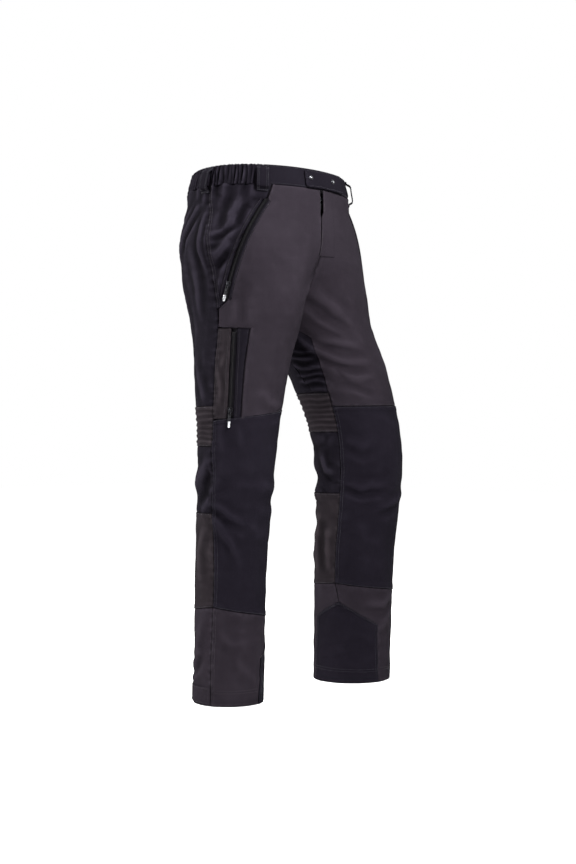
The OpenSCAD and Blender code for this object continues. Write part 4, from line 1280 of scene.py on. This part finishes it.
for name, side in SIDES.items():
    drops = [30, 80, 120, 180, 240, 289, 340, 450, 600, 800, HEM - 25]
    lining = Panel(side, [(d, -179.4) for d in drops], [(d, 179.4) for d in drops], out=LINING_OUT, moved=0.0,
                   step=9.0)
    lining.build(name + "_lining_cloth", LINING, [name + "_lining"], thick=0.8)
    facing = Panel(side, [(HEM - 40, -195.4), (HEM, -195.4)], [(HEM - 40, 164.4), (HEM, 164.4)], out=FACING_OUT,
                   step=5.0)
    facing.build(name + "_hem_facing_cloth", GREY, [name + "_hem_facing"], thick=1.0)
    bag = Panel(side, [(70, 8), (160, 8), (262, 12)], [(70, 57), (160, 57), (262, 50)], out=POCKET_OUT, moved=0.0,
                step=6.0)
    bag.build(name + "_hip_pocket_cloth", LINING, [name + "_hip_pocket_bag"], thick=1.4)
bag = Panel(RIGHT, [(335, 10), (490, 10)], [(335, 56), (490, 56)], out=POCKET_OUT, moved=0.0, step=6.0)
bag.build("thigh_pocket_cloth", LINING, ["thigh_pocket_bag"], thick=1.4)

PAD_DEPTH, PAD_PUFF = -6.6, 2.6        # middle of the pad below the cloth, and half its thickness


def cut_pad(name, side):
    """Quilted pad between the outer cloth and the lining: layers of slip fibre, sewn through in rows."""
    panel = Panel(side, [(190, 62), (500, 60), (520, 26), (985, 26)],
                  [(190, 86), (290, 140), (400, 150), (985, 150)], step=8.0)
    s = spaced(list(panel.stops), 8.0, EDGE_PLACES)
    f = np.concatenate([[0, 0.01, 0.03], np.linspace(0.06, 0.94, 17), [0.97, 0.99, 1]])
    ss, ff = np.meshgrid(s, f, indexing="ij")
    d, t = panel.place(ss, ff)
    edge = np.minimum(np.minimum(ff, 1 - ff) * 120, np.minimum(ss, panel.length - ss))
    puff = np.sqrt(np.clip(edge / 9, 0, 1)) * (0.82 + 0.18 * np.abs(np.sin(ff * 6 * math.pi)))
    n = normal(side, d, t)
    outer, inner = (base(side, d, t) + n * (PAD_DEPTH + k * PAD_PUFF * puff)[..., None] for k in (1, -1))
    rows, cols = d.shape
    faces = [list(q) for q in grid_faces(rows, cols, flip=side == LEFT)]
    back = [[i + rows * cols for i in q][::-1] for q in faces]
    rim = []
    ring = [r * cols for r in range(rows)] + [(rows - 1) * cols + c for c in range(1, cols)] \
        + [r * cols + cols - 1 for r in range(rows - 2, -1, -1)] + [c for c in range(cols - 2, 0, -1)]
    for a, b in zip(ring, ring[1:] + ring[:1]):
        q = [a, a + rows * cols, b + rows * cols, b]
        rim.append(q if side == RIGHT else q[::-1])
    obj = add_mesh(name + "_cut_pad_quilt", np.concatenate([outer.reshape(-1, 3), inner.reshape(-1, 3)]),
                   faces + back + rim, FIBRE)
    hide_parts(name + "_cut_pad")


for name, side in SIDES.items():
    cut_pad(name, side)

# ---------------------------------------------------------------- waist


def on_waist(drop, around, out=0.0):
    drop, around, out = np.broadcast_arrays(np.asarray(drop, float), np.asarray(around, float),
                                            np.asarray(out, float))
    r = base(RIGHT, drop, around, out)
    l1, l2 = base(LEFT, drop, 180 - around, out), base(LEFT, drop, -180 - around, out)
    p = np.where((around > 90)[..., None], l1, np.where((around < -90)[..., None], l2, r))
    flat = np.abs(p[..., 0]) <= 0.41
    p[..., 0] = np.where(flat, 0.0, p[..., 0])
    return p


def waist_frame(drop, around, out=0.0):
    """Point on the waistband, way out, way down and way across."""
    p = on_waist(drop, around, out)
    down = unit(on_waist(drop + 3, around, out) - on_waist(drop - 3, around, out))
    across = on_waist(drop, around + 1, out) - on_waist(drop, around - 1, out)
    n = unit(np.cross(down, across))
    return p, n, down, unit(np.cross(n, down))


def waist_length(start, end, stations):
    return float(np.linalg.norm(np.diff(on_waist(20.0, np.linspace(start, end, stations)), axis=0), axis=1).sum())


# the band's section: drop, height off the surface, and how much of the gathers it takes
BAND_PROFILE = [(40.0, -0.9, 0.5), (39.1, -0.15, 0.9), (37, 0.15, 1), (33, 0.1, 0.9), (28.5, 0.2, 1),
                (23.5, 0.3, 1), (18, 0.3, 1), (13, 0.25, 1), (8.5, 0.15, 0.95), (5, 0.15, 0.8), (2.4, 0.2, 0.75),
                (0.8, -0.3, 0.6), (0.0, -1.3, 0.5), (0.5, -2.4, 0.4), (2.6, -3.0, 0.3), (10, -3.1, 0.2),
                (20, -3.1, 0.2), (31, -3.1, 0.2), (37.6, -3.0, 0.2), (39.6, -2.3, 0.3)]


BAND_STEP = 1.4


def band(name, start, end, gather, node):
    """A stretch of the waistband: a folded tube of cloth, gathered over its elastic at the back."""
    length = waist_length(start, end, 200)
    a = np.linspace(start, end, int(length / BAND_STEP) + 2)
    prof = np.array(BAND_PROFILE)
    drop, around = np.meshgrid(prof[:, 0], a, indexing="xy")
    r = np.radians(around)
    phase = gather_phase(r) + 0.7 * np.sin(drop / 8 + 5 * r)
    size = 0.8 + 0.5 * np.sin(13 * r + 1) * np.sin(29 * r)
    wave = np.sin(phase) + 0.6 * np.sin(0.5 * phase + 1.2 + drop / 11)
    fade = smooth(around, start, start + 4) * (1 - smooth(around, end - 4, end)) if gather else 0
    pinch = 1 - 0.5 * np.exp(-((drop - 7) / 1.8) ** 2) - 0.5 * np.exp(-((drop - 33) / 1.8) ** 2)
    height = prof[:, 1][None, :] + gather * prof[:, 2][None, :] * size * wave * fade * pinch
    height = height + 0.25 * waves(around * 3, drop, 61, 40) * prof[:, 2][None, :]
    soft_top = np.where(drop < 3, 1, 0) * gather * 0.3 * (wave * fade if gather else 0)
    p = on_waist(drop + soft_top, around, height)
    n = len(prof)
    run = np.linspace(0, length, len(a))
    around_section = np.concatenate([[0], np.cumsum(np.hypot(np.diff(prof[:, 0]), np.diff(prof[:, 1])))])
    uv = np.stack([np.repeat(run[:, None], n, 1), np.broadcast_to(around_section, (len(a), n))], -1)
    # the gathers' height also paints highlights on their ridges and shade between them
    obj = add_mesh(name, p, capped(len(a), n), SEAT, uv=uv,
                   fold_shading=np.clip((height - prof[:, 1][None, :]) / 2.6, -1, 1))
    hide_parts(node)
    if not gather:
        a = np.linspace(start + 0.6, end - 0.6, int(length))
        threads["waist"]["dark"] += [waist_frame(np.full(len(a), d), a, 0.28)[:2] for d in (3.2, 36.8)]


band("waistband_front_right_cloth", 42.9, 90.6, 0, "waistband_front_right")
band("waistband_front_left_cloth", 91.4, 137.1, 0, "waistband_front_left")
band("waistband_back_cloth", -222.1, 42.1, 2.3, "waistband_back_casing")


length = waist_length(-221.5, 41.5, 120)
a = np.linspace(-221.5, 41.5, int(length / 3.0) + 2)
p, n, down, _ = waist_frame(np.full(len(a), 20.0), a, -5.6)
obj = ribbon("waistband_elastic_web", p, down, n, 15.0, 0.65, ELASTIC, nodes=["waistband_elastic"])


def across_stitches(p, n, way, reach, out):
    """A short line of stitching through p, reaching the same way to both sides."""
    x = np.arange(-reach, reach + 0.1, 0.8)[:, None]
    return p + way * x + n * out, np.broadcast_to(n, (len(x), 3))


# a belt loop from its top end to its bottom end: drop, and height off the surface
LOOP_SECTION = [(2.2, 1.3), (3.2, 1.55), (5, 1.6), (6.8, 2.4), (8.6, 5.6), (10.4, 8.6), (13, 9.8), (19, 9.95),
                (27, 9.9), (35, 9.95), (40.5, 9.8), (43.8, 9.0), (46.2, 5.8), (48.2, 2.4), (50, 1.5),
                (52.6, 1.45), (54, 1.2)]


def belt_loop(index, around):
    """A doubled strap sewn down at both ends, standing off the band between them."""
    key = np.array(LOOP_SECTION)
    run = np.concatenate([[0], np.cumsum(np.hypot(np.diff(key[:, 0]), np.diff(key[:, 1])))])
    at = np.arange(0, run[-1], 1.2)
    drop, out = cubic_line(run, key[:, 0], at), cubic_line(run, key[:, 1], at)
    wobble = 0.35 * waves(drop, np.full(len(drop), float(index * 31)), 71, 28)
    mid = np.exp(-((drop - 27) / 13) ** 2)
    p = on_waist(drop, around, out + wobble * mid)
    y = unit(np.gradient(p, axis=0))
    _, _, _, across = waist_frame(np.array(27.0), np.array(float(around)))
    across = np.broadcast_to(across, p.shape)
    n = unit(np.cross(y, across))
    half = 12.7 - 0.35 * mid + 0.25 * np.exp(-((drop - 3) / 3) ** 2) + 0.3 * np.exp(-((drop - 53) / 3) ** 2)
    obj = ribbon(f"belt_loop_{index}", p, across, n, half, 0.95, SEAT, n=24)
    lines = [(p + across * x + n * 0.98, n) for x in (-10.2, -7.2, 7.2, 10.2)]
    ends = []
    for d in (4.0, 51.4):
        q, m, down, across = waist_frame(np.array(d), np.array(float(around)), 2.5)
        ends += [across_stitches(q + down * k, m, across, 11.5, 0.0) for k in (-1.2, 0.0, 1.2)]
    threads["waist"]["dark"] += lines + ends
    return obj


def cubic_line(x, y, at):
    """Smooth curve through points, by Catmull-Rom on an uneven run."""
    m = np.gradient(y, x)
    i = np.clip(np.searchsorted(x, at, side="right") - 1, 0, len(x) - 2)
    h = x[i + 1] - x[i]
    return hermite((at - x[i]) / h, h, y[i], m[i], y[i + 1], m[i + 1])


loops = [belt_loop(i + 1, around) for i, around in enumerate((42.5, -6, -90, -174, 137.5))]
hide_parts("belt_loops")

# waist tab with a rounded end
a = np.linspace(74, 113, 60)
p, n, down, across = waist_frame(np.full(len(a), 20.0), a, 3.5)
s = running(p)
tip = np.clip(s / 9, 0, 1)
half = 18.7 - 5.5 * (1 - np.sqrt(1 - (1 - tip) ** 2))
half = half - 0.8 * np.exp(-((s - 30) / 22) ** 2)
crease = 0.35 * np.sin(s / 7.0) * np.exp(-((s - 26) / 16) ** 2)
p = p + n * crease[:, None] + down * (0.6 * np.exp(-((s - 20) / 24) ** 2))[:, None]
obj = ribbon("waist_tab_cloth", p, down, n, half, 0.9, SEAT, "waist_tab", n=28, nodes=["waist_tab"])
keep = s > 5
tab_lines = [(p[keep] + (down * (half[:, None] - 2.6) * k + n * 0.92)[keep], n[keep]) for k in (-1, 1)]
i = int(np.searchsorted(s, 3.2))
tab_lines.append(across_stitches(p[i], n[i], down[i], 13.0, 0.9))
stitches("waist_tab_stitching", tab_lines, THREAD_DARK, "waist_tab")


def spun(profile, place, sides=40):
    """A round solid: profile of (radius, height) turned about the place's way out."""
    p, n, down, across = place
    ang = np.arange(sides) * 2 * math.pi / sides
    v = np.array([p + n * h + (down * np.cos(ang)[:, None] + across * np.sin(ang)[:, None]) * r
                  for r, h in profile])
    faces = capped(len(v), sides)
    return v.reshape(-1, 3), faces[:-2] + turned(faces[-2:])


SNAPS = (78.5, 100)
CAP = [(0.3, -1.9), (1.9, -1.9), (2.0, -1.2), (2.0, 0.3), (4.6, 0.35), (5.1, 0.5), (5.25, 0.8), (5.15, 1.15),
       (4.7, 1.35), (4.2, 1.3), (3.75, 1.15), (3.4, 1.35), (2.9, 1.75), (2.1, 2.1), (1.1, 2.3), (0.2, 2.35)]
STUD = [(0.3, 0.2), (4.3, 0.2), (4.6, 0.45), (4.4, 0.8), (2.2, 0.9), (1.8, 1.0), (1.7, 1.5), (1.2, 1.6),
        (0.2, 1.6)]
snap_at = [waist_frame(np.array(19.0), np.array(float(a)), 4.4) for a in SNAPS]
GLINT = [(0.2, 2.3), (0.9, 2.38), (1.7, 2.3), (2.1, 2.18), (2.0, 2.12), (0.3, 2.2)]
obj = add_mesh("tab_snap_caps_metal", *join([spun(CAP, at) for at in snap_at]), GUN, "waist_tab")
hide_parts("tab_snap_caps")
add_mesh("tab_snap_glints", *join([spun(GLINT, at, 32) for at in snap_at]), BRIGHT, "waist_tab")
stud_at = [waist_frame(np.array(19.0), np.array(float(a)), 0.0) for a in SNAPS]
obj = add_mesh("band_snap_studs_metal", *join([spun(STUD, at, 32) for at in stud_at]), BRIGHT)
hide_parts("band_snap_studs")

# ---------------------------------------------------------------- fly

FLAP_ROOT, GUARD_HALF = 31.8, 23.6
FLAP_DROPS = [TOP + 1.6, 69, 84, 95, 104, 122, 142, 157, 172.0]


def flap_edge(d):
    return -1.0 - 6.4 * smooth(d, 82, 97)


def front_panel(name, left_edge, right_edge, drops, out, thick, material, node, body, raised=0.5, moved=1.0):
    """A piece across the front between two edges, given by their distance x from the centre plane."""
    d = np.concatenate([np.linspace(a, b, max(2, int((b - a) / 3.0) + 1))[:-1]
                        for a, b in zip(drops[:-1], drops[1:])] + [[drops[-1]]])
    a = np.array([float(left_edge(x)) for x in d])
    b = np.array([float(right_edge(x)) for x in d])
    f = np.concatenate([[0, 0.02, 0.05], np.linspace(0.1, 0.9, 26), [0.95, 0.98, 1]])
    x = a[:, None] + (b - a)[:, None] * f
    dd = np.repeat(d[:, None], len(f), 1)
    turns = {side: turn_at(side, dd, np.maximum(side * x, 0.3)) for side in (RIGHT, LEFT)}
    on_left = (x > 0)[..., None]
    flat = np.where(on_left, base(LEFT, dd, turns[LEFT], out), base(RIGHT, dd, turns[RIGHT], out))
    steps = np.linalg.norm(np.diff(flat, axis=1), axis=-1)
    run = np.concatenate([np.zeros((len(d), 1)), np.cumsum(steps, axis=1)], 1)
    h = out + raised * (1 - smooth(run, 7, 9)) - 0.8 * np.exp(-(run / 0.9) ** 2)
    p = np.where(on_left, cloth(LEFT, dd, turns[LEFT], h, moved), cloth(RIGHT, dd, turns[RIGHT], h, moved))
    n = unit(np.where(on_left, normal(LEFT, dd, turns[LEFT]), normal(RIGHT, dd, turns[RIGHT])))
    uv = np.stack([run, -dd], -1)
    obj = add_mesh(name, p, grid_faces(len(d), len(f)), material, body, uv, wear=np.exp(-run / 3.5))
    solidify(obj, thick)
    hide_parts(node)
    # a line of stitching beside the first edge
    q, m = (np.array([[np.interp(2.4, run[i], v[i, :, c]) for c in range(3)] for i in range(len(d))])
            for v in (p, n))
    return q, unit(m)


line = front_panel("fly_flap_cloth", flap_edge, lambda d: FLAP_ROOT, FLAP_DROPS, 0.0, 1.6, GREY, "fly_flap",
                   "fly_flap")
stitches("fly_flap_stitching", [line], THREAD_GREY, "fly_flap")
front_panel("fly_guard_cloth", lambda d: -GUARD_HALF, lambda d: GUARD_HALF, [TOP + 4, 110, 174], -15.0, 1.0, SEAT,
            "fly_guard", "trousers", raised=0, moved=0.0)

# ---------------------------------------------------------------- hem straps


def hem_strap(name, side):
    t = np.linspace(-66, 12, 60)
    k = (t + 66) / 78
    gather = 0.5 * np.sin(k * 40) * (1 - k)
    d0 = np.full(len(t), HEM - 20.0)
    stand = 2.6 * (1 - smooth(k, 0, 0.16)) + gather
    p = base(side, d0, t, 1.6) + normal(side, d0, t) * stand[:, None]
    n = normal(side, d0, t)
    down = np.broadcast_to(np.array([0, 0, -1.0]), n.shape)
    down = unit(down - n * (down * n).sum(-1, keepdims=True))
    half = 16.4 - 3.5 * (1 - smooth(k, 0, 0.09)) + 0.4 * np.sin(k * 31)
    obj = ribbon(name + "_hem_strap_cloth", p, down if side == RIGHT else -down, n, half, 0.8, GREY,
                 name + "_hem_strap", n=26, nodes=[name + "_hem_strap"])
    lines = [(p + down * (half[:, None] - 2.4) * s + n * 0.82, n) for s in (-1, 1)]
    lines += [across_stitches(p[j], n[j], down[j], 13.0, 0.82) for j in (-4, -8)]
    stitches(name + "_hem_strap_stitching", lines, THREAD_GREY, name + "_hem_strap")


for name, side in SIDES.items():
    hem_strap(name, side)

# ---------------------------------------------------------------- zips


TOOTH_PITCH = 1.05
STOP_RING = [(-1.1, -0.6), (-1.1, 0.6), (1.1, 0.6), (1.1, -0.6)]
TAPE_ACROSS = (1.2, 3.0, 3.3, 4.6, 6.3)
TAPE_FACE, TAPE_BACK = (-0.9, -0.9, -0.95, -1.0, -1.15), (-1.5, -1.5, -1.5, -1.55, -1.6)


def zip_teeth(name, path):
    """Tape in two halves and moulded teeth that mesh from both sides."""
    parts = []
    for i, at in enumerate(np.arange(0.6, path.length - 0.4, TOOTH_PITCH)):
        k = 1 if i % 2 else -1
        tip = -0.55 * k
        ring = []
        for z, w, h in ((tip, 0.62, 0.66), (tip + 0.5 * k, 0.44, 0.98), (1.1 * k, 0.36, 1.05),
                        (2.3 * k, 0.42, 1.0), (2.95 * k, 0.34, 0.7)):
            ring.append([(h2, at + w2, z) for h2, w2 in ((-h, -w), (-h, w), (h * 0.75, w), (h, w * 0.5),
                                                         (h, -w * 0.5), (h * 0.75, -w))])
        ring = np.array(ring)
        v = path.at(ring[..., 1].ravel(), ring[..., 0].ravel() + 0.08, ring[..., 2].ravel())
        parts.append((v, turned(capped(5, 6)) if k > 0 else capped(5, 6)))
    for end in (0.2, path.length - 0.9):
        ring = np.array([[(h, end + w, z) for h, w in STOP_RING] for z in (-3, -2.6, 2.6, 3)])
        v = path.at(ring[..., 1].ravel(), ring[..., 0].ravel(), ring[..., 2].ravel())
        parts.append((v, capped(4, 4)))
    teeth = add_mesh(name + "_teeth", *join(parts), TEETH, smooth_it=False)
    tapes = []
    for k in (-1, 1):
        ss = np.linspace(0, path.length, int(path.length / 3))
        zs = np.array(TAPE_ACROSS) * k
        face, low = (path.at(ss[:, None], np.array(out)[None, :], zs[None, :]) for out in (TAPE_FACE, TAPE_BACK))
        ring = np.concatenate([face, low[:, ::-1]], 1)
        faces = capped(len(ss), ring.shape[1])
        tapes.append((ring.reshape(-1, 3), turned(faces[:-2]) + faces[-2:] if k < 0 else faces))
    v, f = join(tapes)
    uv = np.stack([v[:, 0] * 0.7 + v[:, 1], v[:, 2]], -1)
    tape = add_mesh(name + "_tape", v, f, TAPE, uv=uv)
    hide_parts(name)


# half of a slider's top plate and its bent-down rim, as (along, across)
SLIDER_HALF = [(-5, 3.1), (-4.6, 3.9), (-3.0, 4.45), (0, 4.5), (2.2, 4.2), (4.0, 3.5), (5.0, 2.9)]
SLIDER_RIM = [(-4.6, 3.35), (-4.2, 3.9), (-2.8, 4.4), (0, 4.45), (2.2, 4.15), (3.8, 3.55), (3.8, 3.32),
              (-4.4, 3.32)]
PULLER_X = 4.5             # how far the puller lies off the zip's surface
PULLER_END = 12.0
# the moulded end from its first ring to its last: along, half width, half thickness
END_RINGS = [(0, 1.9, 0.9), (0.7, 2.6, 1.2), (2.2, 2.95, 1.3), (3.2, 2.7, 1.1), (4.2, 2.95, 1.3), (5.2, 2.7, 1.1),
             (6.2, 2.95, 1.3), (8.6, 2.9, 1.3), (10.4, 2.5, 1.2), (11.6, 1.7, 0.9), (12, 0.8, 0.5)]


def slider_and_puller(tag, zip_name, path, at, length, end):
    """A slider, and its puller: a wire link on the bridge, a metal tab, a doubled cord and a moulded end."""
    place, way_out, along, across = (np.asarray(v) for v in path.frame(np.array(float(at))))

    def put(name, part, material, body):
        v = np.asarray(part[0]).reshape(-1, 3)
        v = place + v[:, :1] * way_out + v[:, 1:2] * along + v[:, 2:] * across
        return add_mesh(name, v, part[1], material, f"{tag}_{body}")

    shape = [(y, -z) for y, z in SLIDER_HALF] + SLIDER_HALF[::-1]
    parts = [plate(shape, 1.55, 3.1, 0.35)]
    for k in (-1, 1):
        rim = [(y, k * z) for y, z in SLIDER_RIM]
        parts.append(plate(rim[::-1] if k > 0 else rim, -0.45, 2.0, 0.1))
    arch = [(2.75 + 2.75 * math.sin(k) ** 0.7, -2.75 * math.cos(k), 0.0) for k in np.linspace(0, math.pi, 13)]
    parts.append(tube(arch, 0.78, 10))
    obj = put(tag + "_slider_metal", join(parts), SLIDER, "slider")
    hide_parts(zip_name + "_slider")
    px = PULLER_X
    link = []
    for k in np.linspace(0, 2 * math.pi, 33)[:-1]:
        y = 2.6 + 4.0 * math.cos(k)
        z = 2.3 * math.sin(k)
        link.append((px, max(-0.9, y) if abs(z) < 2.29 else y, z))
    tab = plate(rounded(4.6, 2.75, 1.6, 5, 9.6), px - 0.7, px + 0.7, 0.3)
    obj = put(tag + "_puller_metal", join([tube(np.array(link + link[:2]), 0.55, 8), tab]), GUN, "puller")
    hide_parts(zip_name + "_puller")
    cords = []
    ys = np.linspace(10.5, length - 9, 24)
    for k in (-1, 1):
        twist = 0.35 * np.sin(ys * 1.1)
        cords.append(tube(np.stack([px + 0.15 + twist, ys, k * (1.55 + 0.12 * np.sin(ys * 0.8))], -1), 0.86, 8))
    bend = np.array([(px + 0.15, 10.5 - 1.4 * math.sin(a), 1.55 * math.cos(a))
                     for a in np.linspace(0, math.pi, 11)])
    cords.append(tube(bend, 0.86, 8))
    put(tag + "_puller_cord", join(cords), CORD, "puller")
    n = 16
    ang = np.arange(n) * 2 * math.pi / n
    cz = np.sign(np.cos(ang)) * np.abs(np.cos(ang)) ** 0.6
    cx = np.sign(np.sin(ang)) * np.abs(np.sin(ang)) ** 0.75
    rings = np.array([np.stack([px + cx * hx, np.full(n, length - PULLER_END + y), cz * hz], -1)
                      for y, hz, hx in END_RINGS])
    faces = capped(len(rings), n)
    put(tag + "_puller_end", (rings, turned(faces[:-2]) + faces[-2:]), end, "puller")


for tag, path, at, length, end in (
        ("right_hip", HIP_ZIPS["right"], SLIDER_AT["right"], 34, BRIGHT),
        ("left_hip", HIP_ZIPS["left"], SLIDER_AT["left"], 34, BRIGHT),
        ("thigh", THIGH_ZIP, SLIDER_AT["thigh"], 34, BRIGHT), ("fly", FLY_ZIP, SLIDER_AT["fly"], 24, MOULD)):
    zip_teeth(tag + "_zip", path)
    slider_and_puller(tag, tag + "_zip", path, at, length, end)

for name, sets in threads.items():
    for tone, material in (("dark", THREAD_DARK), ("grey", THREAD_GREY)):
        if sets[tone]:
            stitches(f"{name}_stitching_{tone}", sets[tone], material)

# ---------------------------------------------------------------- stage

scene = bpy.context.scene


def stage_material(name, colour):
    m = Nodes(name)
    coord = m.new("ShaderNodeTexCoord")
    grain = m.noise(coord.outputs["Object"], 3.0)
    m.wire(m.mix(grain, tuple(c * 0.985 for c in colour), colour), m.bsdf.inputs["Base Color"])
    m.bsdf.inputs["Roughness"].default_value = 0.9
    m.bsdf.inputs["Emission Color"].default_value = (1, 1, 1, 1)
    ray = m.new("ShaderNodeLightPath")
    m.wire(m.ramp(ray.outputs["Is Camera Ray"], 0.0, 1.0, 0.15, 0.85), m.bsdf.inputs["Emission Strength"])
    return m.mat


def floor():
    """A white floor just below the hems."""
    size, z = 9.0, -1.0562
    mesh = bpy.data.meshes.new("floor")
    mesh.from_pydata([(-size, -size, z), (size, -size, z), (size, size, z), (-size, size, z)], [], [(0, 1, 2, 3)])
    obj = bpy.data.objects.new("floor", mesh)
    scene.collection.objects.link(obj)
    obj.data.materials.append(stage_material("floor_paint", (0.9, 0.9, 0.9)))


floor()


def lamp(name, place, target, size, watts):
    data = bpy.data.lights.new(name, "AREA")
    data.shape, data.size, data.size_y, data.energy = "RECTANGLE", size[0], size[1], watts
    obj = bpy.data.objects.new(name, data)
    obj.location = place
    obj.rotation_euler = (Vector(target) - Vector(place)).to_track_quat("-Z", "Y").to_euler()
    scene.collection.objects.link(obj)


TARGET = Vector((0.015, -0.019, -0.522))


CAMERA_TURN = -50.0


def around_camera(azimuth, height, distance):
    """A place at a height in m, turned away from the camera's own direction."""
    a = math.radians(CAMERA_TURN + azimuth)
    return (TARGET.x + math.sin(a) * distance, TARGET.y - math.cos(a) * distance, height)


lamp("key", around_camera(34, 0.8, 1.3), (0.0, 0.0, -0.35), (0.45, 0.45), 72)
lamp("fill", around_camera(-25, -0.2, 3.0), TARGET, (1.6, 1.2), 16)
lamp("rim_left", around_camera(-92, 0.8, 2.1), TARGET, (0.5, 0.7), 110)
lamp("rim_right", around_camera(120, 0.3, 2.4), TARGET, (0.9, 2.0), 12)
lamp("top", (0.0, 0.0, 1.5), TARGET, (1.0, 1.0), 20)

world = bpy.data.worlds.new("studio")
scene.world = world
world.use_nodes = True
background = world.node_tree.nodes["Background"]
background.inputs["Color"].default_value = (1, 1, 1, 1)
# white behind the trousers, and softer as a light on them
ray = world.node_tree.nodes.new("ShaderNodeLightPath")
level = world.node_tree.nodes.new("ShaderNodeMapRange")
level.inputs["To Min"].default_value, level.inputs["To Max"].default_value = 0.2, 1.0
world.node_tree.links.new(ray.outputs["Is Camera Ray"], level.inputs["Value"])
world.node_tree.links.new(level.outputs["Result"], background.inputs["Strength"])

camera = bpy.data.cameras.new("camera")
camera.lens, camera.sensor_width = 61, 36
eye = bpy.data.objects.new("camera", camera)
eye.location = around_camera(0, TARGET.z, 3.0)
eye.rotation_euler = (TARGET - eye.location).to_track_quat("-Z", "Y").to_euler()
scene.collection.objects.link(eye)
scene.camera = eye
scene.view_settings.view_transform = "Standard"

bpy.context.view_layer.update()
